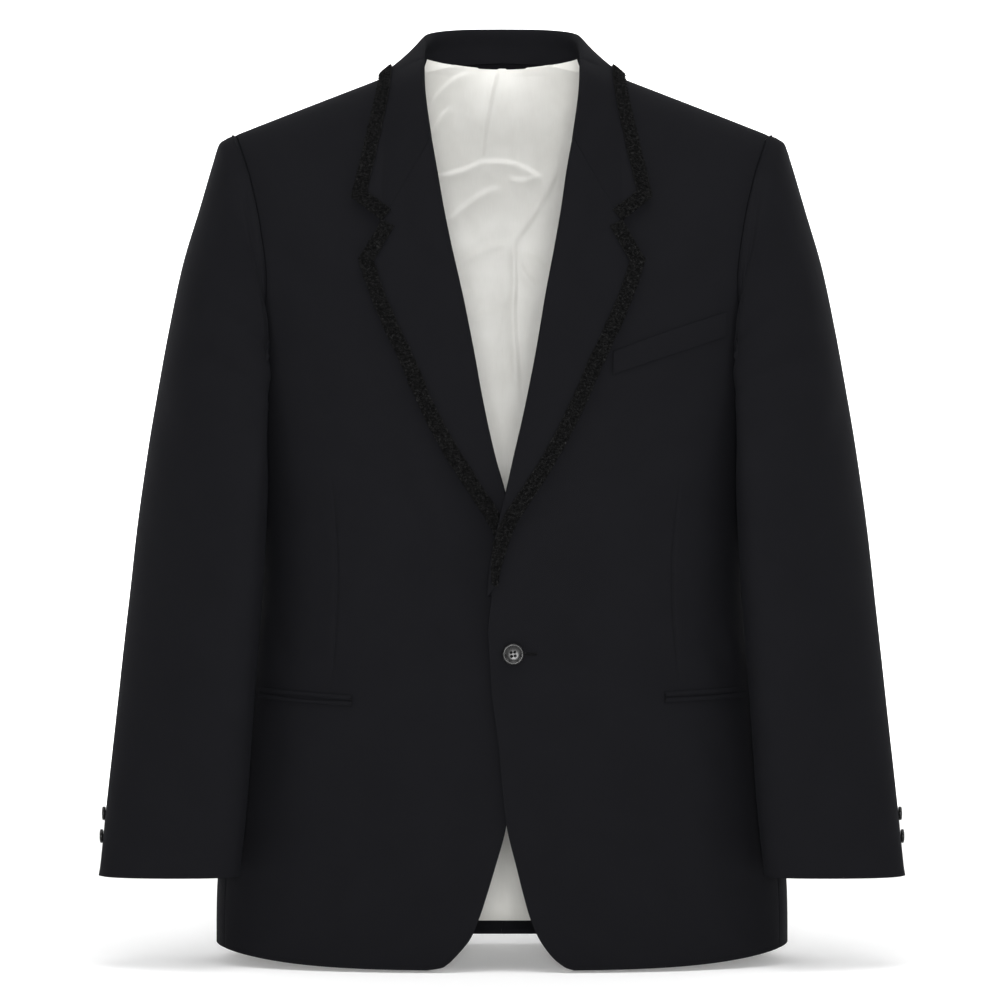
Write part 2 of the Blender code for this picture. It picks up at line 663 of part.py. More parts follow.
def lapel_braid(side):
    """Braid from the break up the lapel's edge and along the notch to its corner."""
    steps = np.linspace(0.05, 1, 20)
    roll_top, tip = EDGE[-1][1], LAPEL_EDGE[-1][1]
    corner_out = (NOTCH_X - roll_top) / (tip - roll_top) + 0.01
    return edge_strip(lambda up, out: lapel_face(up, out, side), lambda up: lapel_width(up, side),
                      steps, corner_out, LAPEL_BRAID_END, np.array([0.0, -1.0, 0.0]))


def collar_width(along):
    _, fold, edge = collar_sections(along)
    return np.linalg.norm(edge - fold, axis=-1)


def collar_braid():
    """Braid round the collar's edge from notch to notch."""
    steps = np.linspace(0, 1, 24)
    outward = away_from_neck(np.concatenate([steps, np.ones(5)])) + np.array([0.0, 0.0, 0.4])
    strip = edge_strip(collar_fall, collar_width, steps * COLLAR_END, NOTCH_SHARE + 0.03,
                       COLLAR_BRAID_END, outward)
    return np.swapaxes(both_halves(np.swapaxes(strip, 0, 1)), 0, 1)


# ---- what lies on the fronts -------------------------------------------------------
def strip_on_front(start, end, heights, side, distance, cols=9):
    """A strip on a front between two x, z points; heights are its edges at each end."""
    share = np.linspace(0, 1, cols)
    x = start[0] + (end[0] - start[0]) * share
    rows = []
    for level in (0.0, 1.0):
        low = start[1] + (end[1] - start[1]) * share
        tall = heights[0] + (heights[1] - heights[0]) * share
        rows.append(on_front(x, low + tall * level, side, distance))
    return np.array(rows)


# ---- lining ------------------------------------------------------------------------
def inset(grid, distance, outward):
    """A grid moved in from another one, along its normals."""
    normal = np.cross(np.gradient(grid, axis=0), np.gradient(grid, axis=1))
    normal /= np.linalg.norm(normal, axis=-1, keepdims=True)
    normal *= np.sign(np.sum(normal * outward, axis=-1, keepdims=True))
    return grid - normal * distance


# ---- meshes ------------------------------------------------------------------------
def new_material(name, colour, roughness):
    material = bpy.data.materials.new(name)
    material.use_nodes = True
    shader = material.node_tree.nodes["Principled BSDF"]
    shader.inputs["Base Color"].default_value = (*colour, 1.0)
    shader.inputs["Roughness"].default_value = roughness
    shader.inputs["Metallic"].default_value = 0.0
    return material


def add_wall(name, grid, material, wall, outward, side=1):
    """A cloth wall: a grid of outer points as an open sheet, made thick inwards.

    outward is a direction that the sheet's outer face looks to at its middle.
    """
    points = np.array(grid, float)
    rows, cols = points.shape[:2]
    middle = (rows // 2, cols // 2)
    normal = np.cross(np.gradient(points, axis=1)[middle], np.gradient(points, axis=0)[middle])
    turned = normal @ np.asarray(outward, float) < 0
    points[..., 0] *= side
    if turned != (side < 0):
        points = points[:, ::-1]
    faces = []
    for row in range(rows - 1):
        for col in range(cols - 1):
            at = row * cols + col
            faces.append((at, at + 1, at + cols + 1, at + cols))
    mesh = bpy.data.meshes.new(name)
    mesh.from_pydata((points.reshape(-1, 3) * MM).tolist(), [], faces)
    mesh.shade_smooth()
    obj = bpy.data.objects.new(name, mesh)
    GARMENT.objects.link(obj)
    mesh.materials.append(material)
    solid = obj.modifiers.new("wall", "SOLIDIFY")
    solid.thickness = wall * MM
    solid.offset = -1.0
    return obj


def add_button(name, diameter, thickness, centre, facing, material):
    """A turned button with a raised rim and a dished middle, facing a direction."""
    radius = diameter / 2
    profile = (
        (0.0, thickness * 0.62),
        (radius * 0.55, thickness * 0.62),
        (radius * 0.68, thickness),
        (radius * 0.90, thickness * 0.92),
        (radius, thickness * 0.55),
        (radius * 0.86, thickness * 0.12),
        (radius * 0.60, 0.0),
        (0.0, 0.0),
    )
    mesh = bpy.data.meshes.new(name)
    edges = [(i, i + 1) for i in range(len(profile) - 1)]
    mesh.from_pydata([(r * MM, 0.0, h * MM) for r, h in profile], edges, [])
    obj = bpy.data.objects.new(name, mesh)
    GARMENT.objects.link(obj)
    mesh.materials.append(material)
    turn = obj.modifiers.new("turned", "SCREW")
    turn.steps = 16
    turn.render_steps = 16
    turn.use_merge_vertices = True
    turn.merge_threshold = 0.00005
    turn.use_smooth_shade = True
    obj.location = [value * MM for value in centre]
    obj.rotation_mode = "QUATERNION"
    obj.rotation_quaternion = Vector(facing).to_track_quat("Z", "Y")
    return obj


for old in list(bpy.data.objects):
    bpy.data.objects.remove(old, do_unlink=True)
GARMENT = bpy.data.collections.new("blazer")
bpy.context.scene.collection.children.link(GARMENT)

wool = new_material("black_wool", BLACK_WOOL, 0.85)
braid = new_material("black_braid", BLACK_BRAID, 0.9)
satin = new_material("off_white_satin", OFF_WHITE_SATIN, 0.45)
horn = new_material("black_button", BLACK_BUTTON, 0.35)

TO_FRONT = (0, -1, 0)
TO_BACK = (0, 1, 0)
TO_SIDE = (1, 0, 0)

for side, sign in (("left", 1), ("right", -1)):
    add_wall(f"front_{side}", front_panel(side), wool, CLOTH, TO_FRONT, sign)
    add_wall(f"back_{side}", back_panel(), wool, CLOTH, TO_BACK, sign)
    add_wall(f"side_{side}", side_panel(), wool, CLOTH, TO_SIDE, sign)

    upper = sleeve_piece(BACK_SEAM[0] - 360 + SLEEVE_GAP, FRONT_SEAM[0] - SLEEVE_GAP,
                         BACK_SEAM[1] - 360 + SLEEVE_GAP, FRONT_SEAM[1] - SLEEVE_GAP, 14)
    under = sleeve_piece(FRONT_SEAM[0] + SLEEVE_GAP, BACK_SEAM[0] - SLEEVE_GAP,
                         FRONT_SEAM[1] + SLEEVE_GAP, BACK_SEAM[1] - SLEEVE_GAP, 10)
    add_wall(f"sleeve_upper_{side}", upper, wool, CLOTH, (1, -0.3, 0.2), sign)
    add_wall(f"sleeve_under_{side}", under, wool, CLOTH, (-1, 0.5, -0.2), sign)

    add_wall(f"lapel_{side}", lapel_piece(side), wool, CLOTH, (-0.3, -1, 0), sign)
    add_wall(f"braid_lapel_{side}", lapel_braid(side), braid, BRAID_WALL, TO_FRONT, sign)

    lining_inset = CLOTH + LINING_GAP
    back_lining = inset(back_panel(8, 9, LINING_HEM, LINING_SEAMS[0])[:-1], lining_inset, TO_BACK)
    side_lining = inset(side_panel(7, 9, LINING_HEM, LINING_SEAMS[1]), lining_inset, TO_SIDE)
    add_wall(f"lining_back_{side}", back_lining, satin, LINING_WALL, TO_BACK, sign)
    add_wall(f"lining_side_{side}", side_lining, satin, LINING_WALL, TO_SIDE, sign)

    for rise, number in zip(CUFF_BUTTON_RISES, (1, 2)):
        down = 1 - rise / (CUFF_RING_STEP * (len(SLEEVE) - 1))
        here = sleeve(np.array([down]), np.array([CUFF_BUTTON_ANGLE]))[0]
        centre = here + np.array([BUTTON_SHANK, 0, 0])
        centre[0] *= sign
        add_button(f"cuff_button_{number}_{side}", CUFF_BUTTON_DIAMETER, CUFF_BUTTON_THICKNESS,
                   centre, (sign, 0, 0), horn)

add_wall("collar", collar_piece(), wool, CLOTH, (0, 1, 1))
add_wall("braid_collar", collar_braid(), braid, BRAID_WALL, (0, 1, 0.3))
add_wall("chest_welt", strip_on_front((WELT[0][0], WELT[0][2]), (WELT[1][0], WELT[1][2]),
                                      [row[1] - row[2] for row in WELT], "left",
                                      LAY_GAP + THIN_CLOTH), wool, THIN_CLOTH, TO_FRONT)
for side, x_inner, z_inner, x_outer, z_outer in POCKETS:
    sign = 1 if side == "left" else -1
    for edge, drop in (("upper", MOUTH_GAP / 2), ("lower", -MOUTH_GAP / 2 - JET_HEIGHT)):
        strip = strip_on_front((x_inner, z_inner + drop), (x_outer, z_outer + drop),
                               (JET_HEIGHT, JET_HEIGHT), side, LAY_GAP + THIN_CLOTH)
        add_wall(f"jet_{edge}_{side}", strip, wool, THIN_CLOTH, TO_FRONT, sign)

button_at = on_front(np.array([BUTTON_X]), np.array([BUTTON_Z]), "left", BUTTON_SHANK)[0]
add_button("front_button", BUTTON_DIAMETER, BUTTON_THICKNESS, button_at, TO_FRONT, horn)
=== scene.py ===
"""The looks of a man's one-button evening blazer, filled out as worn, with nobody in it.

Sizes are in millimetres and become metres as a mesh is made. +Z is up, the wearer faces
-Y and the wearer's left is +X. Half of the coat is worked out at +X, with the places
where its two sides differ in columns of their own, and the other half is mirrored. The
sections follow the coat as a tailor puts it together.
"""

import bpy
import numpy as np
from mathutils import Matrix, Vector


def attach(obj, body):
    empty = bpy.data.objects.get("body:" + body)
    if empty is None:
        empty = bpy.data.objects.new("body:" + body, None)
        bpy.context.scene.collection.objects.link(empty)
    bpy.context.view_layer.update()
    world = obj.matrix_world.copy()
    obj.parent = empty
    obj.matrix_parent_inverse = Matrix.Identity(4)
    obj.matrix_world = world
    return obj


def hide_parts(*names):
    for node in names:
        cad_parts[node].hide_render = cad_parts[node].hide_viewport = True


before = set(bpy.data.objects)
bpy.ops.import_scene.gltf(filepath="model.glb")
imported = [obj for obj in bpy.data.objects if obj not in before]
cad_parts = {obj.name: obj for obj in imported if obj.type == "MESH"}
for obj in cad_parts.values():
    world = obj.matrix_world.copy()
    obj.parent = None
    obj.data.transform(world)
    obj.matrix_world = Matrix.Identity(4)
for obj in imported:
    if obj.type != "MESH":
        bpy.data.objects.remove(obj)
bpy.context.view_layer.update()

# ---- camera -------------------------------------------------------------------------
# Level and straight in front of the coat, far back with a long lens, so that the
# shoulders and the hem show at nearly the same scale.
camera = bpy.data.objects.new("camera", bpy.data.cameras.new("camera"))
camera.data.lens = 132.9
camera.data.sensor_width = 36.0
camera.location = (0.0017, -3.2, -0.3767)
camera.rotation_euler = (np.radians(90), 0, 0)
bpy.context.scene.collection.objects.link(camera)
bpy.context.scene.camera = camera

# ---- fronts -------------------------------------------------------------------------
# Two panels of fine black worsted with canvas behind, each shaped by one long dart. The
# free edges curve away below the button, and the left front lies over the right one.
MM = 0.001
SIDES = (("left", 1), ("right", -1))
CLOTH = 2.0             # wool with its canvas and turned edges
SEAM_GAP = 0.05         # between two pieces that are sewn together
SEAM_EDGE = 0.25        # rounding of an edge that is sewn
FULLNESS = 2.6          # exponent of the body's section: 2 is an ellipse
NECK_POINT_X, NECK_POINT_Z = 80.0, -2.0
SHOULDER_TIP_X, SHOULDER_TIP_Z = 230.0, -60.0
SHOULDER_FALL_FRONT = (225.0, 170.0)   # height of the shoulder's curve: neck, tip
SIDE_SEAM_SHARE = 0.96  # share of the half width where front and back end
HEM_FRONT_Z, HEM_SIDE_Z, HEM_BACK_Z = -764.3, -750.8, -758.5
HEM_SPRING_Z = -690.0   # below this height the rows bend towards the hem's curve
HEM_HALF_WIDTH = 245.0

# The body's sections: half width and depths from the side line, by height.
BODY_COLUMNS = ("z", "half_width", "front_depth", "back_depth")
BODY = (
    (60, 262, 100, 98),
    (-60, 257, 104, 104),
    (-150, 242, 110, 108),
    (-262, 221, 114, 104),
    (-340, 214, 117, 94),
    (-430, 210, 118, 88),
    (-520, 219, 117, 94),
    (-620, 235, 114, 103),
    (-700, 244, 112, 106),
    (-770, 245, 110, 108),
)

# The front's free edge and, above the break, its roll line: x of each front by height.
EDGE_COLUMNS = ("z", "left", "right")
EDGE = (
    (-764.3, 60.0, 62.0),
    (-762.7, 54.5, 52.0),
    (-759.4, 49.0, 45.5),
    (-754.0, 42.5, 39.5),
    (-748.0, 37.5, 34.0),
    (-740.0, 32.0, 27.5),
    (-725.0, 25.0, 20.5),
    (-700.0, 17.5, 12.0),
    (-680.0, 12.5, 6.0),
    (-645.0, 4.0, -3.5),
    (-609.0, 0.0, -7.0),
    (-567.0, -4.0, -9.0),
    (-539.0, -8.0, -11.0),
    (-500.0, -10.5, -12.0),
    (-453.0, -12.5, -13.0),
    (-435.0, -11.2, -12.0),
    (-406.0, -6.0, -9.0),
    (-391.0, -2.5, -7.0),
    (-365.0, 3.4, -2.5),
    (-342.0, 8.5, 4.1),
    (-299.0, 18.3, 14.0),
    (-249.0, 28.2, 23.2),
    (-199.0, 36.6, 33.2),
    (-165.0, 43.0, 41.0),
    (-131.0, 49.0, 48.0),
    (-97.0, 54.0, 54.0),
    (-72.0, 58.5, 58.5),
)
BREAK_Z = -453.0        # where the lapel starts to roll
GORGE_ROLL_Z = -72.0    # where the collar seam crosses the roll line
EDGE_SETBACK = 4.0      # the front's own edge inside the roll
NECK_EDGE = ((-72.0, 64.0), (-54.0, 68.5), (-32.0, 73.5), (-12.0, 78.0), (-2.0, 80.6))

# How far the left front stands out, and the right one in, where they overlap.
OVERLAP_COLUMNS = ("z", "left_out", "right_in")
OVERLAP = (
    (-764.0, 0.0, 0.0),
    (-700.0, 1.0, 1.0),
    (-650.0, 2.4, 2.0),
    (-520.0, 3.6, 2.4),
    (-453.0, 7.0, 4.0),
    (-400.0, 9.0, 5.0),
    (-365.0, 7.0, 4.5),
    (-320.0, 2.5, 2.0),
    (-270.0, 0.0, 0.0),
)
OVERLAP_REACH = 75.0

# The armhole: x by angle, seen from the side, 0 at the shoulder and 90 in front.
ARMHOLE_MID_Z, ARMHOLE_HALF_HEIGHT = -161.0, 101.0
ARMHOLE_FRONT_END, ARMHOLE_BACK_START = 140.0, 220.0
ARMHOLE_X = ((0, 230.0), (30, 222.5), (55, 212.5), (80, 203.5), (110, 198.0), (125, 201.0),
             (140, 213.0), (220, 213.0), (250, 206.0), (280, 208.0), (305, 214.0),
             (330, 222.5), (360, 230.0))

# Soft folds of the fronts: a line from x0, z0 to x1, z1, how deep and how wide. A
# negative depth is a ridge.
FRONT_FOLDS = {
    "left": (
        (67, -557, 82, -728, 1.6, 17),
        (96, -548, 104, -700, -1.0, 20),
        (86, -412, 56, -530, 1.4, 15),
        (166, -486, 193, -522, 1.5, 8),
        (181, -470, 200, -508, -1.2, 6),
        (166, -560, 190, -606, 1.2, 9),
        (150, -250, 120, -345, 1.1, 20),
        (176, -286, 158, -372, -0.9, 18),
        (34, -432, 22, -470, -0.8, 9),
        (30, -505, 84, -520, 0.7, 8),
        (188, -616, 178, -742, 1.4, 16),
        (128, -640, 134, -752, 0.8, 16),
        (168, -96, 186, -176, 1.0, 18),
    ),
    "right": (
        (92, -311, 60, -412, 2.0, 13),
        (60, -408, 20, -426, 1.5, 9),
        (78, -330, 38, -404, -1.1, 9),
        (98, -497, 102, -590, 1.4, 13),
        (94, -604, 90, -740, 1.1, 15),
        (122, -600, 128, -716, -0.9, 17),
        (196, -470, 172, -520, 1.5, 9),
        (186, -556, 196, -640, 1.5, 11),
        (24, -500, 78, -512, 0.8, 8),
        (154, -262, 132, -352, 1.0, 19),
        (180, -292, 170, -366, -0.9, 16),
        (166, -98, 184, -178, 1.0, 18),
        (186, -640, 178, -745, 1.2, 15),
    ),
}
DART_SHARE = {"left": 0.715, "right": 0.692}     # where the dart runs, across the front
DART_Z = (-349.0, -524.0)
DART_ENDS = (60.0, 30.0)        # it fades out over these lengths, above and below
DART_DEPTH, DART_WIDTH = 1.1, 1.2
DART_SWELL, SWELL_AT = 0.6, 5.0     # the cloth swells beside it, this far away and this wide
DART_CROWDING = (0.012, 7.0)    # how near to it its columns crowd, and how much
FRONT_SPAN = 215.0              # width of a front at the waist, which its shares are of
FRONT_COLS = 70
FRONT_ROWS = (30, 118, 50)      # round the hem's corner, then to the underarm and the shoulder
CORNER_CROWDING, SHOULDER_CROWDING = 2.1, 1.8
SEWN_IN = 0.2                   # the panels end this far inside the armhole's line
TURN_Y = 40.0                   # folds fade where the face comes this near to y = 0
ROLL_FADE, ROLL_LEAST = 30.0, 0.15      # and near the roll line, down to this share
FOLD_BOW = 0.07                 # how far a fold's line bows, as a share of its length
FOLD_REACH = 0.46               # half of its length, as a share, where it has faded to 1 / e


def cubic(t, width, start, end, start_slope, end_slope):
    """A cubic with these ends and slopes, at a share t of its width."""
    return ((2 * t**3 - 3 * t**2 + 1) * start + (t**3 - 2 * t**2 + t) * width * start_slope
            + (3 * t**2 - 2 * t**3) * end + (t**3 - t**2) * width * end_slope)


def eased(share):
    """A share from 0 to 1 that leaves both ends level."""
    return share * share * (3 - 2 * share)


def bell(distance, width):
    """A bell curve: 1 on the line and 1 / e at its width."""
    return np.exp(-((distance / width) ** 2))


def smooth(at, knots, values):
    """Values on a smooth curve through knots: cubics whose slopes are the mean slopes."""
    knots, values = np.asarray(knots, float), np.asarray(values, float)
    if knots[0] > knots[-1]:
        knots, values = knots[::-1], values[::-1]
    at = np.clip(at, knots[0], knots[-1])
    slopes = np.gradient(values, knots, axis=0)
    left = np.clip(np.searchsorted(knots, at, side="right") - 1, 0, len(knots) - 2)
    width = knots[left + 1] - knots[left]
    t = (at - knots[left]) / width
    if values.ndim > 1:
        t, width = t[..., None], width[..., None]
    return cubic(t, width, values[left], values[left + 1], slopes[left], slopes[left + 1])


def column(table, columns, name, z):
    """One named column of a table, smoothly between its heights."""
    return smooth(z, [row[0] for row in table], [row[columns.index(name)] for row in table])


def body(name, z):
    """One measure of the body's section at height z."""
    return column(BODY, BODY_COLUMNS, name, z)


def shoulder_z(x):
    """Height of the shoulder seam: a straight line from the neck to its tip."""
    slope = (SHOULDER_TIP_Z - NECK_POINT_Z) / (SHOULDER_TIP_X - NECK_POINT_X)
    return NECK_POINT_Z + slope * (np.abs(x) - NECK_POINT_X)


def section_share(x, z):
    """Depth of the rounded oblong at x, as a share: (1 - |x/w|^n)^(1/n)."""
    ratio = np.clip(np.abs(x) / body("half_width", z), 0, 1)
    return (1 - ratio**FULLNESS) ** (1 / FULLNESS)


def fall_away(t):
    """A quarter circle: 0 at the shoulder seam, 1 where the shoulder has become the body."""
    return np.sqrt(1 - (1 - np.clip(t, 0, 1)) ** 2)


def front_y(x, z):
    """Outer face of the front: the section's depth, drawn in under the shoulder seam."""
    x = np.abs(x)
    reach = np.interp(x, (NECK_POINT_X, SHOULDER_TIP_X), SHOULDER_FALL_FRONT)
    return -body("front_depth", z) * section_share(x, z) * fall_away((shoulder_z(x) - z) / reach)


def hem_z(x, middle_z):
    """Height of the hem: level in the middle, rising to the side with the fourth power."""
    return middle_z + (HEM_SIDE_Z - middle_z) * (np.abs(x) / HEM_HALF_WIDTH) ** 4


def armhole_x(angle):
    """How far out the armhole lies at an angle of its own."""
    return smooth(angle, [row[0] for row in ARMHOLE_X], [row[1] for row in ARMHOLE_X])


def armhole_z(angle):
    """Its height at that angle, as on a circle seen from the side."""
    return ARMHOLE_MID_Z + ARMHOLE_HALF_HEIGHT * np.cos(np.radians(angle))


def armhole_angle(z):
    """Angle of the armhole's front half at height z; its back half mirrors it."""
    return np.degrees(np.arccos(np.clip((z - ARMHOLE_MID_Z) / ARMHOLE_HALF_HEIGHT, -1, 1)))


UNDERARM_Z = float(armhole_z(ARMHOLE_FRONT_END))


def front_face(x, z, side):
    """Outer face of one front, moved out or in near the middle where the fronts overlap."""
    amount = (-column(OVERLAP, OVERLAP_COLUMNS, "left_out", z) if side == "left"
              else column(OVERLAP, OVERLAP_COLUMNS, "right_in", z))
    fade = np.clip(1 - x / OVERLAP_REACH, 0, 1)
    return np.stack([x, front_y(x, z) + amount * eased(fade), z], axis=-1)


def on_front(x, z, side, distance):
    """Points on a front, moved out of its face by a distance along its normal."""
    step = 0.5
    across = front_face(x + step, z, side) - front_face(x - step, z, side)
    upward = front_face(x, z + step, side) - front_face(x, z - step, side)
    normal = np.cross(across, upward)
    normal /= np.linalg.norm(normal, axis=-1, keepdims=True)
    return front_face(x, z, side) + normal * np.asarray(distance)[..., None]


def roll_x(z, side):
    """x of the front's free edge and, above the break, of the lapel's roll line."""
    return column(EDGE, EDGE_COLUMNS, side, z)


def front_edge_x(z, side):
    """x of the front panel's own edge: set back inside the roll of the lapel."""
    setback = np.interp(z, (BREAK_Z - 30, BREAK_Z - 3), (0.0, EDGE_SETBACK))
    neck = smooth(z, [row[0] for row in NECK_EDGE], [row[1] for row in NECK_EDGE])
    return np.where(z > GORGE_ROLL_Z, neck, np.minimum(roll_x(z, side) + setback, neck + 2))


def crowded(count, focus=0.5, width=0.02, gain=0.0):
    """Shares from 0 to 1, closer together near a focus and at both ends.

    They are read backwards from the running sum of a density: 1 and three bell curves.
    """
    fine = np.linspace(0, 1, 2000)
    ends = bell(fine, 0.02) + bell(1 - fine, 0.02)
    total = np.cumsum(1 + gain * bell(fine - focus, width) + 2.0 * ends)
    total = (total - total[0]) / (total[-1] - total[0])
    return np.interp(np.linspace(0, 1, count), total, fine)


def folded(x, z, rows):
    """Soft folds: a bell curve across each gently bowed line, fading out at both ends."""
    field = np.zeros(np.broadcast(x, z).shape)
    for x0, z0, x1, z1, depth, width in rows:
        run_x, run_z = x1 - x0, z1 - z0
        length = np.hypot(run_x, run_z)
        along = ((x - x0) * run_x + (z - z0) * run_z) / length**2
        across = ((x - x0) * run_z - (z - z0) * run_x) / length
        across = across + FOLD_BOW * length * np.sin(np.pi * np.clip(along, 0, 1))
        field -= depth * bell(across, width) * np.exp(-(((along - 0.5) / FOLD_REACH) ** 4))
    return field


def normals(points, outward):
    """Unit normals of a grid from its two directions, turned to look outwards."""
    normal = np.cross(np.gradient(points, axis=0), np.gradient(points, axis=1))
    length = np.linalg.norm(normal, axis=-1, keepdims=True)
    normal = normal / np.maximum(length, 1e-9)
    facing = np.sum(normal * np.asarray(outward, float), axis=-1)
    return normal * (1.0 if facing.mean() > 0 else -1.0)


def runs(points):
    """Lengths along the grid's rows and columns, from its first column and first row."""
    across = np.linalg.norm(np.diff(points, axis=1), axis=-1)
    along = np.linalg.norm(np.diff(points, axis=0), axis=-1)
    across = np.concatenate([np.zeros((len(points), 1)), np.cumsum(across, axis=1)], axis=1)
    along = np.concatenate([np.zeros((1, points.shape[1])), np.cumsum(along, axis=0)])
    return across, along


def seam_dip(points, borders, depth=0.32, reach=2.4):
    """How far the cloth sinks into its seams: a bell curve from each sewn border."""
    across, along = runs(points)
    away = {"start": across, "end": across[:, -1:] - across, "high": along[-1:] - along}
    return -sum(depth * bell(away[border], reach) for border in borders)


def cloth(name, points, outward, material, wall, side=1, round_edge=SEAM_EDGE):
    """A thin shell on a grid of outer points, with its own UV map in metres.

    The open sheet gets its wall inwards from Solidify, and Bevel rounds its cut edges.
    """
    rows, cols = points.shape[:2]
    across, along = runs(points)
    uv = np.stack([across, along], axis=-1).reshape(-1, 2) * MM
    flat = points.reshape(-1, 3) * (side, 1, 1)
    at = (np.arange(rows - 1)[:, None] * cols + np.arange(cols - 1)).ravel()
    quads = np.stack([at, at + 1, at + cols + 1, at + cols], axis=1)
    normal = np.cross(np.gradient(points, axis=1), np.gradient(points, axis=0))
    faces_out = np.mean(np.sum(normal * np.asarray(outward, float), axis=-1)) > 0
    if faces_out != (side > 0):
        quads = quads[:, ::-1]
    mesh = bpy.data.meshes.new(name)
    mesh.from_pydata((flat * MM).tolist(), [], quads.tolist())
    layer = mesh.uv_layers.new(name="cloth")
    layer.data.foreach_set("uv", uv[quads.ravel()].ravel())
    mesh.shade_smooth()
    mesh.materials.append(material)
    obj = bpy.data.objects.new(name, mesh)
    bpy.context.scene.collection.objects.link(obj)
    solid = obj.modifiers.new("wall", "SOLIDIFY")
    solid.thickness = wall * MM
    solid.offset = -1.0
    if round_edge:
        bevel = obj.modifiers.new("turned_edge", "BEVEL")
        bevel.width = round_edge * MM
        bevel.segments = 2
        bevel.limit_method = "ANGLE"
        bevel.angle_limit = np.radians(55)
    return obj


def sewn(obj, node):
    """The piece stands in for its node, which is hidden, and rides on the coat."""
    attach(obj, "root")
    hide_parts(node)


def socketed(tree_name, inputs, outputs):
    """An empty node group with the named inputs and outputs."""
    group = bpy.data.node_groups.new(tree_name, "ShaderNodeTree")
    for name, value in inputs:
        socket = group.interface.new_socket(name, in_out="INPUT", socket_type="NodeSocketFloat")
        socket.default_value = value
    for name in outputs:
        group.interface.new_socket(name, in_out="OUTPUT", socket_type="NodeSocketFloat")
    return group, group.nodes.new("NodeGroupInput"), group.nodes.new("NodeGroupOutput")


def math_node(tree, operation, first, second=None, third=None):
    """One Math node; each input is a socket or a number."""
    node = tree.nodes.new("ShaderNodeMath")
    node.operation = operation
    for place, value in enumerate((first, second, third)):
        if value is None:
            continue
        if isinstance(value, bpy.types.NodeSocket):
            tree.links.new(value, node.inputs[place])
        else:
            node.inputs[place].default_value = value
    return node.outputs[0]


def noise_node(tree, vector, scale, detail=2.0, roughness=0.5):
    """One Noise texture; its scale is a socket or a number."""
    node = tree.nodes.new("ShaderNodeTexNoise")
    node.inputs["Detail"].default_value = detail
    node.inputs["Roughness"].default_value = roughness
    tree.links.new(vector, node.inputs["Vector"])
    if isinstance(scale, bpy.types.NodeSocket):
        tree.links.new(scale, node.inputs["Scale"])
    else:
        node.inputs["Scale"].default_value = scale
    return node.outputs["Fac"]


def weave_group():
    """Twill: ribs that climb one thread per thread, broken up by uneven yarn.

    Height is a sine of (u + v) over the pitch plus fine noise, and Tone is the same
    ribs mixed with wide, faint patches.
    """
    tree, given, result = socketed("twill_weave", (("Threads per metre", 1400.0),
                                                   ("Unevenness", 0.5)), ("Height", "Tone"))
    place = tree.nodes.new("ShaderNodeUVMap")
    place.uv_map = "cloth"
    parts = tree.nodes.new("ShaderNodeSeparateXYZ")
    tree.links.new(place.outputs["UV"], parts.inputs[0])
    threads = given.outputs["Threads per metre"]
    rising = math_node(tree, "ADD", parts.outputs["X"], parts.outputs["Y"])
    turns = math_node(tree, "MULTIPLY", math_node(tree, "MULTIPLY", rising, threads), 2 * np.pi)
    rib = math_node(tree, "MULTIPLY_ADD", math_node(tree, "SINE", turns), 0.5, 0.5)
    yarn = noise_node(tree, place.outputs["UV"], threads, 2.0, 0.6)
    patches = noise_node(tree, place.outputs["UV"], 22.0, 4.0, 0.6)
    height = math_node(tree, "MULTIPLY_ADD", yarn, given.outputs["Unevenness"], rib)
    tone = math_node(tree, "MULTIPLY_ADD", rib, 0.3, math_node(tree, "MULTIPLY", yarn, 0.3))
    tone = math_node(tree, "MULTIPLY_ADD", patches, 0.4, tone)
    tree.links.new(height, result.inputs["Height"])
    tree.links.new(tone, result.inputs["Tone"])
    return tree


TWILL = weave_group()


def blend_colours(tree, factor, dark, light):
    """A colour between two, by a factor."""
    node = tree.nodes.new("ShaderNodeMix")
    node.data_type = "RGBA"
    tree.links.new(factor, node.inputs["Factor"])
    node.inputs["A"].default_value = (*dark, 1)
    node.inputs["B"].default_value = (*light, 1)
    return node.outputs["Result"]


def bumped(tree, shader, height, distance, strength=1.0):
    """Relief on a shader's normal, with its height in metres."""
    bump = tree.nodes.new("ShaderNodeBump")
    bump.inputs["Distance"].default_value = distance
    bump.inputs["Strength"].default_value = strength
    tree.links.new(height, bump.inputs["Height"])
    tree.links.new(bump.outputs["Normal"], shader.inputs["Normal"])


def blank_material(name, roughness, specular, sheen=0.0):
    """A material with nothing but its gloss set, with its node tree and its shader."""
    material = bpy.data.materials.new(name)
    material.use_nodes = True
    shader = material.node_tree.nodes["Principled BSDF"]
    shader.inputs["Roughness"].default_value = roughness
    shader.inputs["Specular IOR Level"].default_value = specular
    shader.inputs["Sheen Weight"].default_value = sheen
    return material, material.node_tree, shader


def black_wool():
    """Fine black worsted: a soft sheen on a twill that shows only close to."""
    material, tree, shader = blank_material("black_wool", 0.82, specular=0.03, sheen=0.008)
    weave = tree.nodes.new("ShaderNodeGroup")
    weave.node_tree = TWILL
    tree.links.new(blend_colours(tree, weave.outputs["Tone"], (0.0046, 0.0046, 0.0055),
                                 (0.0088, 0.0089, 0.0105)), shader.inputs["Base Color"])
    shader.inputs["Sheen Roughness"].default_value = 0.45
    shader.inputs["Sheen Tint"].default_value = (0.75, 0.80, 0.95, 1)
    bumped(tree, shader, weave.outputs["Height"], 0.00012, 0.6)
    return material


WOOL = black_wool()


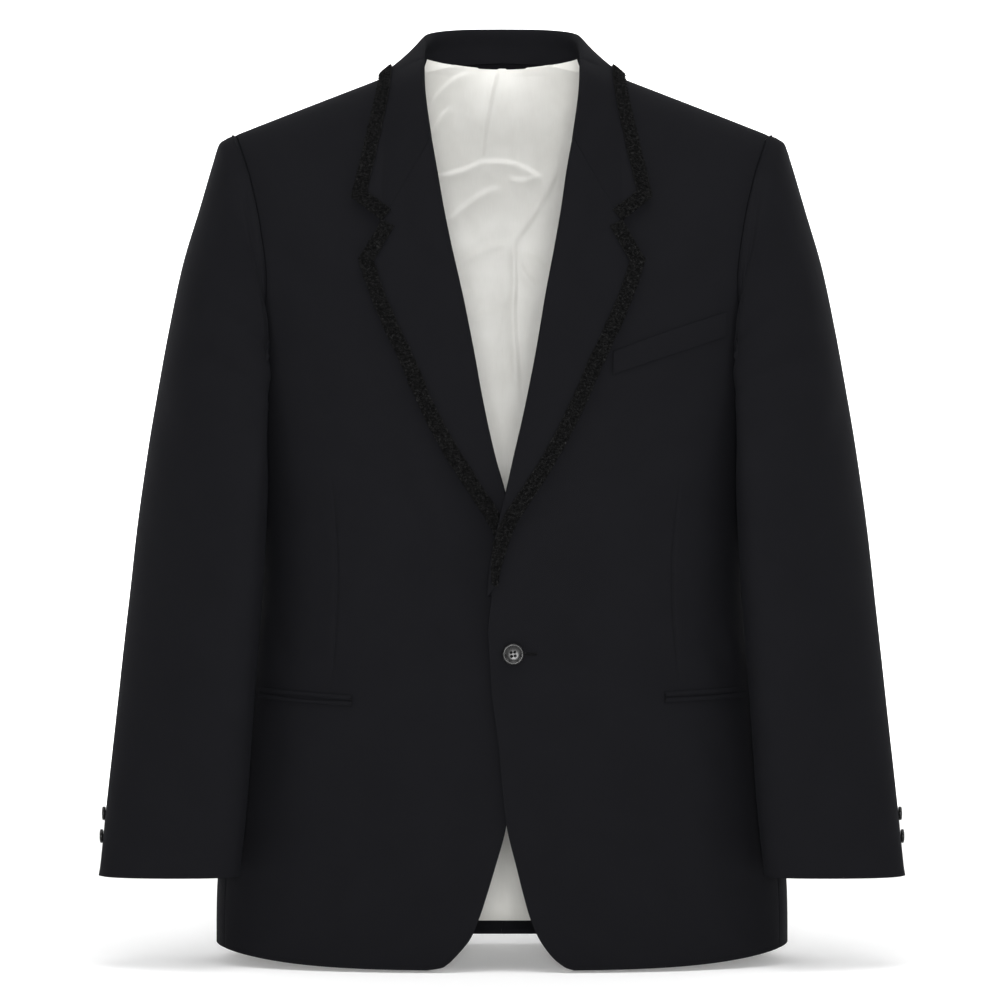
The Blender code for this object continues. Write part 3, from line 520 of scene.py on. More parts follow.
def front_points(side):
    """Rows from the hem to the shoulder, each from the free edge to the side seam."""
    corner_rows, low_rows, top_rows = FRONT_ROWS
    s = crowded(FRONT_COLS, DART_SHARE[side], *DART_CROWDING)[None]
    spring = np.linspace(0, 1, corner_rows) ** CORNER_CROWDING
    corner = HEM_FRONT_Z + (HEM_SPRING_Z - HEM_FRONT_Z) * spring
    low = np.concatenate([corner, np.linspace(HEM_SPRING_Z, UNDERARM_Z, low_rows)[1:]])
    start = front_edge_x(low, side)[:, None]
    end = SIDE_SEAM_SHARE * body("half_width", low)[:, None] - SEAM_GAP / 2
    x = start + (end - start) * s
    z = np.broadcast_to(low[:, None], x.shape)
    lift = np.clip((z - HEM_SPRING_Z) / (HEM_FRONT_Z - HEM_SPRING_Z), 0, 1)
    z = z + lift * (hem_z(x, HEM_FRONT_Z) - HEM_FRONT_Z)
    v = 1 - (1 - np.linspace(0, 1, top_rows)[1:]) ** SHOULDER_CROWDING
    end_z = UNDERARM_Z + v * (SHOULDER_TIP_Z - UNDERARM_Z)
    start_z = UNDERARM_Z + v * (NECK_POINT_Z - UNDERARM_Z)
    high_z = start_z[:, None] + (end_z - start_z)[:, None] * s
    high_x = (front_edge_x(start_z, side)[:, None] * (1 - s)
              + (armhole_x(armhole_angle(end_z)) - SEWN_IN)[:, None] * s)
    x, z = np.concatenate([x, high_x]), np.concatenate([z, high_z])
    points = front_face(x, z, side)
    points[..., 1] = np.minimum(points[..., 1], -SEAM_GAP / 2)
    return points, np.broadcast_to(s, x.shape)


def off_roll(x, z, side):
    """Share of a fold's depth that is left near the roll line."""
    return np.clip((np.abs(x) - roll_x(z, side)) / ROLL_FADE, ROLL_LEAST, 1)


def dart_relief(share, z, side):
    """The dart's sunk seam, and the cloth that swells on its outer side."""
    above, below = DART_ENDS
    ends = np.clip((z - DART_Z[1]) / below, 0, 1) * np.clip((DART_Z[0] - z) / above, 0, 1)
    off_dart = (share - DART_SHARE[side]) * FRONT_SPAN
    return ends * (DART_SWELL * bell(off_dart - SWELL_AT, SWELL_AT)
                   - DART_DEPTH * bell(off_dart, DART_WIDTH))


for side, sign in SIDES:
    points, share = front_points(side)
    x, z = points[..., 0], points[..., 2]
    relief = folded(x, z, FRONT_FOLDS[side]) * np.clip(-points[..., 1] / TURN_Y, 0, 1)
    relief = relief + dart_relief(share, z, side) + seam_dip(points, ("end", "high"))
    relief = relief * off_roll(x, z, side)
    points = points + normals(points, (0, -1, 0)) * relief[..., None]
    front = cloth(f"front_{side}", points, (0, -1, 0), WOOL, CLOTH, sign)
    sewn(front, f"front_{side}")

# ---- backs and side bodies -----------------------------------------------------------
# Two back panels meet in the centre-back seam. A side body on each side joins back to
# front under the arm, so that the coat can follow the waist.
BACK_NECK_Y, BACK_NECK_Z = 75.0, 12.0
SHOULDER_FALL_BACK = 165.0
BACK_FOLDS = (
    (40, -28, 66, -120, 0.9, 16),
    (150, -70, 182, -150, 1.3, 17),
    (118, -120, 150, -246, -1.0, 20),
    (176, -262, 150, -376, 1.3, 15),
    (88, -372, 22, -420, 1.3, 12),
    (104, -404, 40, -452, -1.0, 11),
    (168, -398, 96, -446, 1.1, 12),
    (60, -470, 84, -620, 1.1, 20),
    (138, -500, 150, -700, -1.0, 22),
    (190, -560, 184, -730, 1.2, 15),
    (28, -560, 34, -735, 0.9, 14),
)
UNEVEN = (4, 9, -3, 6)          # how the right back's folds are moved at their two ends
UNEVEN_DEPTH = 0.9              # and how deep they are against the left back's
MIDDLE_FADE = 12.0              # the folds fade this near to the centre-back seam
BACK_GRID = (24, 48, 118, 48)   # columns to the neck and beyond, rows below and above
BACK_CROWDING = 1.9
SIDE_GRID = (34, 116)
# The side bodies' folds, with y in the place of x.
SIDE_FOLDS = (
    (-42, -300, 10, -352, 1.2, 11),
    (-20, -372, 46, -418, 1.3, 10),
    (-52, -420, 14, -446, -1.0, 9),
    (8, -500, 14, -680, 1.2, 16),
    (-44, -560, -40, -730, -0.9, 15),
)


def back_top(x):
    """The back's upper edge: a parabola round the neck, then the shoulder's line."""
    x = np.abs(x)
    in_neck = np.clip(1 - (x / NECK_POINT_X) ** 2, 0, 1)
    neck_z = NECK_POINT_Z + (BACK_NECK_Z - NECK_POINT_Z) * in_neck
    return np.where(x < NECK_POINT_X, neck_z, shoulder_z(x)), BACK_NECK_Y * np.sqrt(in_neck)


def back_y(x, z):
    """Outer face of the back: the body's depth, blended into the neck's curve on top."""
    top_z, top_y = back_top(x)
    depth = body("back_depth", z) * section_share(x, z)
    t = np.clip((top_z - z) / SHOULDER_FALL_BACK, 0, 1)
    return np.hypot(top_y * (1 - t) ** 2, depth * fall_away(t))


def side_x(y, z):
    """Outer face of the body's side: the same oblong, solved for x."""
    depth = np.where(y < 0, body("front_depth", z), body("back_depth", z))
    ratio = np.clip(np.abs(y) / depth, 0, 1)
    return body("half_width", z) * (1 - ratio**FULLNESS) ** (1 / FULLNESS)


def side_seams(z):
    """Depths y of the side body's front and back seams."""
    share = section_share(SIDE_SEAM_SHARE * body("half_width", z), z)
    return -body("front_depth", z) * share, body("back_depth", z) * share


def back_points(inner_cols, outer_cols, rows, top_rows, rise=0.0):
    """Rows from the hem to the neck and shoulder, each from the centre seam outwards."""
    neck_share = NECK_POINT_X / SHOULDER_TIP_X
    inner = np.sin(np.linspace(0, np.pi / 2, inner_cols)) * neck_share
    outer = neck_share + (1 - neck_share) * crowded(outer_cols)[1:]
    s = np.concatenate([inner, outer])[None]
    low = np.linspace(HEM_BACK_Z + rise, UNDERARM_Z, rows)[:, None]
    x = SIDE_SEAM_SHARE * body("half_width", low) * s
    lift = np.clip((low - HEM_SPRING_Z) / (HEM_BACK_Z - HEM_SPRING_Z), 0, 1)
    z = low + lift * (hem_z(x, HEM_BACK_Z) - HEM_BACK_Z)
    v = (1 - (1 - np.linspace(0, 1, top_rows)[1:]) ** BACK_CROWDING)[:, None]
    side_z = UNDERARM_Z + v * (SHOULDER_TIP_Z - UNDERARM_Z)
    end = armhole_x(360 - armhole_angle(side_z)) - SEWN_IN
    high_x = end * s
    top_z, _ = back_top(high_x * (SHOULDER_TIP_X / end) ** v)
    x = np.concatenate([x, high_x])
    z = np.concatenate([z, UNDERARM_Z + v * (top_z - UNDERARM_Z)])
    y = back_y(x, z)
    y[len(low):] = np.maximum(y[len(low):], SEAM_GAP / 2)
    return np.stack([x, y, z], axis=-1)


def side_points(cols, rows, rise=0.0, gap=SEAM_GAP):
    """Rows from the hem to the underarm, each from the front seam to the back seam."""
    share = crowded(cols)
    angle = ARMHOLE_FRONT_END + share * (ARMHOLE_BACK_START - ARMHOLE_FRONT_END)
    top = np.broadcast_to(armhole_z(angle) - SEAM_GAP, (rows, cols))
    v = np.linspace(0, 1, rows)[:, None]
    z = top
    for _ in range(3):
        y_front, y_back = side_seams(z)
        y = y_front + gap / 2 + share * (y_back - y_front - gap)
        x = side_x(y, z)
        hem = np.where(y < 0, hem_z(x, HEM_FRONT_Z), hem_z(x, HEM_BACK_Z)) + rise
        z = hem + v * (top - hem)
    return np.stack([x, y, z], axis=-1)


for side, sign in SIDES:
    points = back_points(*BACK_GRID)
    uneven = tuple((*np.add(row[:4], UNEVEN), row[4] * UNEVEN_DEPTH, row[5]) for row in BACK_FOLDS)
    relief = folded(points[..., 0], points[..., 2], BACK_FOLDS if side == "left" else uneven)
    relief = relief * np.clip(points[..., 1] / TURN_Y, 0, 1)
    relief = relief * np.clip(points[..., 0] / MIDDLE_FADE, 0, 1)
    relief = relief + seam_dip(points, ("start", "end", "high"))
    points = points + normals(points, (0, 1, 0)) * relief[..., None]
    back = cloth(f"back_{side}", points, (0, 1, 0), WOOL, CLOTH, sign)
    sewn(back, f"back_{side}")

    points = side_points(*SIDE_GRID)
    relief = folded(points[..., 1], points[..., 2], SIDE_FOLDS)
    relief = relief + seam_dip(points, ("start", "end", "high"))
    points = points + normals(points, (1, 0, 0)) * relief[..., None]
    panel = cloth(f"side_{side}", points, (1, 0, 0), WOOL, CLOTH, sign)
    sewn(panel, f"side_{side}")

# ---- sleeves ------------------------------------------------------------------------
# Two-piece sleeves: a wide upper piece and a narrow under piece, set into the armhole
# with a slight rope of cloth over the shoulder, and a mock vent at the cuff.

# The sleeve's rings from the armhole to the cuff: inner point, outer point, half depth,
# share of the armhole's own shape, and how far its front is drawn towards the body.
SLEEVE = (
    (221.6, 0.0, -262.6, 231.2, 0.0, -60.2, 72.0, 1.0, 0.0),
    (224.0, -0.5, -264.5, 238.6, 0.0, -63.4, 73.0, 0.96, 3.0),
    (225.5, -1.5, -267.5, 245.2, 0.0, -69.3, 74.0, 0.88, 9.0),
    (226.0, -4.0, -272.0, 250.4, 0.0, -84.5, 74.0, 0.76, 20.0),
    (225.0, -10.0, -279.0, 261.0, 0.0, -122.0, 72.0, 0.55, 27.0),
    (221.0, -21.0, -289.0, 275.0, 1.0, -172.0, 68.5, 0.35, 29.0),
    (213.0, -38.0, -302.0, 286.0, 2.0, -225.0, 64.0, 0.17, 25.0),
    (204.0, -57.0, -322.0, 295.5, 2.0, -278.0, 58.0, 0.05, 17.0),
    (198.0, -72.0, -352.0, 304.0, 0.0, -330.0, 53.0, 0.0, 8.0),
    (198.0, -82.0, -405.0, 313.0, -6.0, -397.0, 47.0, 0.0, 2.0),
    (201.5, -88.0, -470.0, 320.0, -16.0, -467.0, 43.0, 0.0, 0.0),
    (207.5, -91.0, -550.0, 327.0, -32.0, -546.0, 39.0, 0.0, 0.0),
    (213.0, -93.0, -630.0, 334.0, -50.0, -625.0, 34.0, 0.0, 0.0),
    (219.0, -94.0, -687.0, 339.0, -66.0, -689.0, 29.0, 0.0, 0.0),
)
RING_STEP = 63.0        # height between two rings near the cuff
SLEEVE_LENGTH = RING_STEP * (len(SLEEVE) - 1)
SLEEVE_FULLNESS = 2.3
ARMHOLE_GAP = 0.5
SLEEVE_CLEARANCE = 5.0      # between sleeve and body, from below the armhole on
CLEAR_FROM, CLEAR_EASE = 40.0, 50.0     # it starts this far above the underarm, over this height
HANG_ANGLE, HANG_SPREAD = 130.0, 38.0    # where the sleeve hangs in front of the armhole
FRONT_SEAM, BACK_SEAM = (160.0, 196.0), (296.0, 334.0)   # angles at armhole and cuff
SEAM_ANGLE = 0.02       # degrees between a sleeve seam and the cloth on either side
MM_PER_DEGREE = 1.0     # the folds' table takes angles as lengths, at this rate
# The turned-in edge of the sleeve's head: how far towards the body, and inwards.
TURNED_HEAD = ((-0.4, 1.2), (-2.2, 2.9), (-6.5, 3.4))
SLEEVE_ROWS, SLEEVE_CROWDING = 128, 1.15
SLEEVE_COLS = {"sleeve_upper": 64, "sleeve_under": 36}
SLEEVE_DIP = 0.7        # depth of its seams
# The rope over the shoulder: its height, its place down the sleeve, its width there, and
# the angle at which it fades.
ROPE_HEIGHT, ROPE_DOWN, ROPE_WIDTH, ROPE_ANGLE = 1.5, 10.0, 7.0, 62.0
CUFF_SWELL, CUFF_WIDTH = 0.5, 5.0       # the turned cuff stands out
HEAD_FADE, CUFF_FADE, CUFF_LEAST = 40.0, 60.0, 0.2      # folds fade over these lengths
TILT, TILT_WIDTH = 8, 2         # how the right sleeve's folds differ: turned, and wider
# Folds of the sleeves: angle and distance down, at both ends, then depth and width.
SLEEVE_FOLDS = (
    (60, 40, 110, 120, 1.4, 12),
    (92, 60, 150, 170, -1.2, 11),
    (-60, 44, -96, 130, 1.2, 12),
    (20, 110, -10, 300, 1.0, 24),
    (150, 250, 60, 330, 1.8, 12),
    (148, 300, 76, 366, -1.3, 11),
    (146, 350, 50, 400, 1.7, 12),
    (30, 430, 96, 540, 1.2, 17),
    (-30, 470, -12, 640, 1.0, 20),
    (120, 590, 60, 690, 1.0, 15),
    (60, 690, 100, 790, 0.9, 15),
    (200, 190, 262, 260, 1.5, 12),
    (210, 270, 270, 320, -1.2, 11),
    (196, 340, 262, 372, 1.4, 11),
    (250, 430, 230, 600, 1.2, 16),
    (-52, 250, -34, 400, 1.1, 18),
)


def armhole(angle):
    """The armhole as a loop on the body: front edge, side body's top, back edge."""
    angle = np.asarray(angle, float) % 360
    z, x = armhole_z(angle), armhole_x(angle)
    y_front, y_back = side_seams(np.full_like(angle, UNDERARM_Z))
    share = np.clip((angle - ARMHOLE_FRONT_END) / (ARMHOLE_BACK_START - ARMHOLE_FRONT_END), 0, 1)
    y_side = y_front + share * (y_back - y_front)
    below = (angle > ARMHOLE_FRONT_END) & (angle < ARMHOLE_BACK_START)
    y = np.where(angle <= 180, front_y(x, z), back_y(x, z))
    return np.stack([np.where(below, side_x(y_side, z), x), np.where(below, y_side, y), z], axis=-1)


def clear_of_body(point, clearance):
    """Points moved along the body's own normal until they are clear of its outer face."""
    x, y, z = point[..., 0], point[..., 1], point[..., 2]
    half_width = body("half_width", z)
    depth = np.where(y < 0, body("front_depth", z), body("back_depth", z))
    ratio_x, ratio_y = x / half_width, y / depth
    level = ratio_x**FULLNESS + np.abs(ratio_y) ** FULLNESS
    grow_x = FULLNESS * ratio_x ** (FULLNESS - 1) / half_width
    grow_y = FULLNESS * np.sign(y) * np.abs(ratio_y) ** (FULLNESS - 1) / depth
    steep = np.hypot(grow_x, grow_y)
    short = np.maximum(clearance - (level - 1) / steep, 0)
    short = short * np.clip((UNDERARM_Z + CLEAR_FROM - z) / CLEAR_EASE, 0, 1)
    step = np.stack([grow_x, grow_y, np.zeros_like(z)], axis=-1) / steep[..., None]
    return point + step * short[..., None]


def sleeve(down, angle):
    """A rounded oblong ring between inner and outer points, easing out of the armhole."""
    row = smooth(down * (len(SLEEVE) - 1), range(len(SLEEVE)), SLEEVE)
    inner, outer = row[..., 0:3], row[..., 3:6]
    turn, power = np.radians(angle), 2 / SLEEVE_FULLNESS
    across = (np.sign(np.cos(turn)) * np.abs(np.cos(turn)) ** power)[..., None]
    forward = (np.sign(np.sin(turn)) * np.abs(np.sin(turn)) ** power)[..., None]
    to_front = np.array([0.0, -1.0, 0.0])
    ring = (inner + outer) / 2 + (outer - inner) / 2 * across + to_front * row[..., 6:7] * forward
    first = np.asarray(SLEEVE[0])
    plain = ((first[0:3] + first[3:6]) / 2 + (first[3:6] - first[0:3]) / 2 * across
             + to_front * first[6] * forward)
    point = ring + row[..., 7:8] * (armhole(angle) + np.array([ARMHOLE_GAP, 0.0, 0.0]) - plain)
    point[..., 0] -= row[..., 8] * bell(np.asarray(angle) - HANG_ANGLE, HANG_SPREAD)
    for _ in range(2):
        point = clear_of_body(point, SLEEVE_CLEARANCE * np.clip(6 * down, 0, 1))
    return point


def turned_head(points):
    """Rows that go on from the armhole, towards the body and in under its edge."""
    ring = points[-1]
    inward = np.array([0.0, 0.0, ARMHOLE_MID_Z]) - ring * (0, 1, 1)
    inward[:, 0] = 0
    inward /= np.linalg.norm(inward, axis=-1, keepdims=True)
    rows = [ring + np.array([along, 0, 0]) + inward * depth for along, depth in TURNED_HEAD]
    return np.concatenate([points, rows])


def sleeve_points(top_angles, cuff_angles, cols, folds):
    """Rows from the cuff to the armhole between two seams that turn as they go down."""
    down = (np.linspace(1, 0, SLEEVE_ROWS) ** SLEEVE_CROWDING)[:, None]
    share = crowded(cols)[None]
    start = top_angles[0] + (cuff_angles[0] - top_angles[0]) * down + SEAM_ANGLE
    end = top_angles[1] + (cuff_angles[1] - top_angles[1]) * down - SEAM_ANGLE
    angle = start + (end - start) * share
    down = np.broadcast_to(down, angle.shape)
    points = sleeve(down, angle)
    length = down * SLEEVE_LENGTH
    relief = folded(angle * MM_PER_DEGREE, length, folds) * np.clip(length / HEAD_FADE, 0, 1)
    relief = relief * np.clip((SLEEVE_LENGTH - length) / CUFF_FADE, CUFF_LEAST, 1)
    rope = bell(length - ROPE_DOWN, ROPE_WIDTH) * np.exp(-((angle / ROPE_ANGLE) ** 4))
    relief = relief + ROPE_HEIGHT * rope + seam_dip(points, ("start", "end", "high"), SLEEVE_DIP)
    return points, relief + CUFF_SWELL * bell(SLEEVE_LENGTH - length, CUFF_WIDTH)


for side, sign in SIDES:
    tilt, wider = (0, 0) if side == "left" else (TILT, TILT_WIDTH)
    folds = tuple((a0, d0 + tilt, a1 + tilt, d1 - tilt, depth, width + wider)
                  for a0, d0, a1, d1, depth, width in SLEEVE_FOLDS)
    upper = ((BACK_SEAM[0] - 360, FRONT_SEAM[0]), (BACK_SEAM[1] - 360, FRONT_SEAM[1]))
    under = ((FRONT_SEAM[0], BACK_SEAM[0]), (FRONT_SEAM[1], BACK_SEAM[1]))
    for part_name, seams, outward in (("sleeve_upper", upper, (1, -0.3, 0.2)),
                                      ("sleeve_under", under, (-1, 0.5, -0.2))):
        points, relief = sleeve_points(*seams, SLEEVE_COLS[part_name], folds)
        points = turned_head(points + normals(points, outward) * relief[..., None])
        piece = cloth(f"{part_name}_{side}", points, outward, WOOL, CLOTH, sign)
        sewn(piece, f"{part_name}_{side}")

# ---- lapels -------------------------------------------------------------------------
# Each lapel is the front's facing turned out: it starts inside the front's edge, rolls
# round it without a crease and lies on the chest up to the gorge seam.

# The lapel's outer edge from the break to the notch: height and x.
LAPEL_EDGE = ((-453.0, -9.5), (-436.0, -5.5), (-421.0, -1.0), (-406.0, 4.5), (-391.0, 12.0),
              (-376.0, 21.5), (-361.0, 31.5), (-335.0, 47.5), (-293.0, 69.0), (-257.0, 84.5),
              (-230.0, 97.0), (-200.0, 109.5), (-174.0, 118.0))
NOTCH_X = 99.0
NOTCH_OUT = (NOTCH_X - EDGE[-1][1]) / (LAPEL_EDGE[-1][1] - EDGE[-1][1])     # its share of the top
LAPEL_LIFT, LAPEL_ROLL = 4.4, 2.2      # above the front, and more at the roll
FACING_GAP, FACING_WIDTH = 1.4, 24.0
ROLL_STEPS = (1.0, 4.0)      # the lapel's first points outside the roll, from its line
LEAST_LAPEL = (0.8, 8.0)     # width at the break, and from BREAK_EASE on
BREAK_EASE = 0.035
ROLL_REACH = 16.0            # the extra lift at the roll fades over this width
OPENING = ((0, BREAK_EASE, 1 / 6), (0.0, 0.45, 1.0))     # how the lapel opens above the break
BREAK_LIFT = 0.5             # and how far it lies off the front where it starts
FACING_STEPS = (4.4, 1.4)    # from the roll to the facing's last points inside the edge
LAPEL_GRID = (132, 46)


def lapel_rails(up, side):
    """Roll line and outer edge of the lapel, as x and z: up runs from the break."""
    roll_z = BREAK_Z + up * (GORGE_ROLL_Z - BREAK_Z)
    edge_z = BREAK_Z + up * (LAPEL_EDGE[-1][0] - BREAK_Z)
    edge_x = smooth(edge_z, [row[0] for row in LAPEL_EDGE], [row[1] for row in LAPEL_EDGE])
    start_x = roll_x(roll_z, side)
    least = np.interp(up, (0, BREAK_EASE), LEAST_LAPEL)
    opened = np.clip(np.asarray(up) / BREAK_EASE, 0, 1)
    end_x = np.maximum(edge_x, start_x + least)
    return start_x, roll_z, start_x + least + (end_x - start_x - least) * opened, edge_z


def lapel_width(up, side):
    """Width of the lapel, from its roll line to its edge."""
    start_x, start_z, end_x, end_z = lapel_rails(up, side)
    return np.hypot(end_x - start_x, end_z - start_z)


def lapel_face(up, out, side):
    """Outer face of the lapel: straight from roll to edge, lifted most at the roll."""
    start_x, start_z, end_x, end_z = lapel_rails(up, side)
    x = start_x + (end_x - start_x) * out
    z = start_z + (end_z - start_z) * out
    near_roll = np.exp(-np.abs(x - start_x) / ROLL_REACH)
    open_up = np.interp(up, *OPENING)
    return on_front(x, z, side, (LAPEL_LIFT + LAPEL_ROLL * near_roll) * open_up
                    + BREAK_LIFT * (1 - open_up))


def curve_through(points, count):
    """Smooth curves through each row's points, evenly spaced along the row's length."""
    steps = np.linalg.norm(np.diff(points, axis=1), axis=-1)
    knots = np.concatenate([np.zeros((len(points), 1)), np.cumsum(steps, axis=1)], axis=1)
    slopes = np.diff(points, axis=1) / steps[..., None]
    share = (steps[:, 1:] / (steps[:, 1:] + steps[:, :-1]))[..., None]
    inner = slopes[:, :-1] * share + slopes[:, 1:] * (1 - share)
    slopes = np.concatenate([slopes[:, :1], inner, slopes[:, -1:]], axis=1)
    out = np.empty((len(points), count, 3))
    for row in range(len(points)):
        at = np.linspace(0, knots[row, -1], count)
        left = np.clip(np.searchsorted(knots[row], at, side="right") - 1, 0, points.shape[1] - 2)
        width = steps[row, left]
        t = ((at - knots[row, left]) / width)[:, None]
        out[row] = cubic(t, width[:, None], points[row, left], points[row, left + 1],
                         slopes[row, left], slopes[row, left + 1])
    return out


def lapel_section(up, side):
    """One row of the lapel: four points inside the edge, its nose and five outside."""
    near = np.array(ROLL_STEPS) / max(lapel_width(up, side), 2 * ROLL_STEPS[1])
    out = np.concatenate([near, near[1] + (1 - near[1]) * np.array([0.33, 0.67, 1.0])])
    rate = np.full_like(out, up)
    over = lapel_face(rate, out, side)
    start_x, start_z, _, _ = lapel_rails(rate, side)
    width = FACING_WIDTH * min(1.0, 0.5 + up * 4)
    inside_x = start_x[0] + np.array([width, width * 0.6, *FACING_STEPS])
    depth = -(CLOTH * 2 + FACING_GAP)
    inner = on_front(inside_x, np.full(4, start_z[0]), side,
                     np.array([depth, depth, depth, depth + 0.6]))
    nose = (inner[3:4] + over[0:1]) / 2
    nose[0, 0] = start_x[0]
    return np.concatenate([inner, nose, over])


def lapel_points(side, rows, cols):
    """Rows from the break to the gorge: inside the edge, round the roll and out."""
    sections = [lapel_section(up, side) for up in np.linspace(0, 1, rows)]
    return curve_through(np.array(sections), cols)


LAPEL_FOLDS = (
    (26, -330, 60, -286, 0.5, 12),
    (56, -232, 78, -180, -0.5, 14),
)

for side, sign in SIDES:
    points = lapel_points(side, *LAPEL_GRID)
    relief = folded(points[..., 0], points[..., 2], LAPEL_FOLDS)
    points = points + normals(points, (-0.3, -1, 0)) * relief[..., None]
    lapel = cloth(f"lapel_{side}", points, (-0.3, -1, 0), WOOL, CLOTH, sign)
    sewn(lapel, f"lapel_{side}")

# ---- collar -------------------------------------------------------------------------
# Stand, fold and fall are one piece of cloth over canvas. It runs round the neck and
# ends in the notch, where it meets the lapel at the gorge seam.

# Its rings from the middle of the back to the notch: neck seam, fold and edge.
COLLAR = (
    (0.0, 73.0, 12.9, 0.0, 77.0, 42.0, 0.0, 100.0, -12.0),
    (31.0, 66.6, 10.9, 34.0, 71.0, 40.5, 50.0, 84.0, -10.5),
    (54.5, 51.5, 6.3, 57.0, 55.0, 36.0, 82.0, 55.0, -8.0),
    (69.5, 31.0, 2.2, 63.0, 30.0, 28.5, 100.0, 26.0, -8.6),
    (76.0, 1.0, -0.6, 63.8, 1.0, 14.5, 104.0, -10.0, -9.4),
    (73.5, -31.0, -10.5, 62.6, -33.0, -7.0, 106.0, -46.0, -33.0),
    (69.5, -53.0, -31.0, 61.8, -58.0, -34.0, 112.5, -70.0, -68.0),
    (64.5, -74.0, -66.0, 58.2, -82.0, -70.5, 124.5, -88.0, -121.5),
)
GORGE_START = 0.86      # from here the collar's rings turn into the lapel's top edge
GORGE_GAP = (0.17, 0.0, 0.10)
COLLAR_LIFT = 4.4
FOLD_WIDTH = 7.5
NOTCH_SHARE = 0.71
FALL_BOW = 0.8
COLLAR_CORNER = (-6.0, 0.0, -33.5)      # from a straight end to the collar's corner
CORNER_START = 0.80     # from here on, along the collar, that corner grows
LYING = (0.60, 0.22)    # where the fall starts to lie on the front, and over what share
NECK_TURN = 0.85        # how early along the collar its outward direction turns forward
STAND_LAP = (2.2, 2.4)  # how far the stand laps the neck seam: inwards and down
STAND_END = 0.56        # as far along the collar as this, and less over the last LAP_FADE
LAP_FADE = 0.1
COLLAR_GRID = (116, 22, 18, 9)          # rows, columns of stand, fall and tip
COLLAR_CROWDING = 1.15
FALL_START = (0.0, 0.06, 0.12)          # points of the fall that the fold's curve runs through


def away_from_neck(along):
    """Level direction out of the neck's opening, turning from the back to the front."""
    turn = np.pi * np.asarray(along, float) ** NECK_TURN
    return np.stack([np.sin(turn), np.cos(turn), np.zeros_like(turn)], axis=-1)


def collar_sections(along):
    """Neck seam, fold and edge of the collar."""
    row = smooth(np.asarray(along, float) * (len(COLLAR) - 1), range(len(COLLAR)), COLLAR)
    return row[..., 0:3], row[..., 3:6], row[..., 6:9]


def collar_fall(along, out):
    """Outer face of the fall: bowed between fold and edge, lying on the front further on."""
    _, fold, edge = collar_sections(along)
    away = away_from_neck(along)
    out = np.asarray(out, float)[..., None]
    along = np.asarray(along, float)[..., None]
    start = fold + away * FOLD_WIDTH
    start[..., 2] -= FOLD_WIDTH / 2 * (1 - np.minimum(along[..., 0], 1))
    point = start + (edge - start) * out
    outward = away * 0.8 + np.array([0.0, 0.0, 0.6])
    point = point + outward * FALL_BOW * np.sin(np.pi * out) * (1 - along**3)
    peak = np.where(out < NOTCH_SHARE, out / NOTCH_SHARE, (1 - out) / (1 - NOTCH_SHARE))
    grown = np.clip((along - CORNER_START) / (1 - CORNER_START), 0, 1) ** 2
    point = point + np.array(COLLAR_CORNER) * peak * grown
    lift = COLLAR_LIFT + LAPEL_ROLL * np.exp(-out[..., 0] * 4)
    lying = on_front(point[..., 0], point[..., 2], "left", lift)
    share = eased(np.clip((along - LYING[0]) / LYING[1], 0, 1))
    return point * (1 - share) + lying * share


def gorge_share(along):
    """How far the collar's ring has turned into the lapel's top edge."""
    share = np.clip((np.asarray(along, float) - GORGE_START) / (1 - GORGE_START), 0, 1)
    return eased(share)[..., None]


def collar_face(along, out):
    """The fall, with its front end laid against the lapel's top edge up to the notch."""
    out = np.asarray(out, float)
    first = ROLL_STEPS[0] / lapel_width(1.0, "left")
    at = first + (NOTCH_OUT - first) * np.clip(out / NOTCH_SHARE, 0, 1)
    seam = lapel_face(np.ones_like(at), at, "left") + np.array(GORGE_GAP)
    move = seam - collar_fall(np.ones_like(at), np.minimum(out, NOTCH_SHARE))
    move = move * np.clip((1 - out) / (1 - NOTCH_SHARE), 0, 1)[..., None]
    return collar_fall(along, out) + move * gorge_share(along)


def both_halves(rows):
    """Rows from the middle outwards at +X, joined to their mirror image."""
    return np.concatenate([rows[:0:-1] * (-1, 1, 1), rows])


def stand_section(along):
    """Neck seam, two points of the stand and the crest of the fold."""
    neck, fold, _ = collar_sections(np.array(along))
    down = neck - fold
    inside = fold + down * min(0.5, FOLD_WIDTH / 2 / np.linalg.norm(down))
    crest = (fold + collar_fall(np.array(along), np.array(0.0))) / 2
    crest[2] = fold[2]
    lap = min(1.0, max(0.0, (STAND_END - along) / LAP_FADE))
    lapped = down / np.linalg.norm(down) * STAND_LAP[1] - away_from_neck(along) * STAND_LAP[0]
    return np.array([neck + lapped * lap, (neck + inside) / 2, inside, crest])


def collar_points(rows, stand_cols, fall_cols, tip_cols):
    """The collar from end to end: up the stand, over the fold and down the fall.

    The stand and the fold are a smooth curve, whose end takes the shape of the lapel's
    roll. The fall is straight across, so that the notch keeps its corner.
    """
    inner, turn, nose = lapel_section(1.0, "left")[2:5] + np.array(GORGE_GAP)
    move = np.array([inner, (inner + turn) / 2, turn, nose]) - stand_section(1.0)
    out = np.array(FALL_START)
    heads, falls = [], []
    across = np.concatenate([np.linspace(FALL_START[-1], NOTCH_SHARE, fall_cols),
                             np.linspace(NOTCH_SHARE, 1, tip_cols)[1:]])
    for along in 1 - (1 - np.linspace(0, 1, rows)) ** COLLAR_CROWDING:
        stand = stand_section(along) + move * gorge_share(along)
        heads.append(np.concatenate([stand, collar_face(np.full_like(out, along), out)]))
        falls.append(collar_face(np.full_like(across, along), across))
    head = curve_through(np.array(heads), stand_cols)
    return both_halves(np.concatenate([head[:, :-1], np.array(falls)], axis=1))


points = collar_points(*COLLAR_GRID)
collar = cloth("collar", points, (0, 0.3, 1), WOOL, CLOTH)
sewn(collar, "collar")

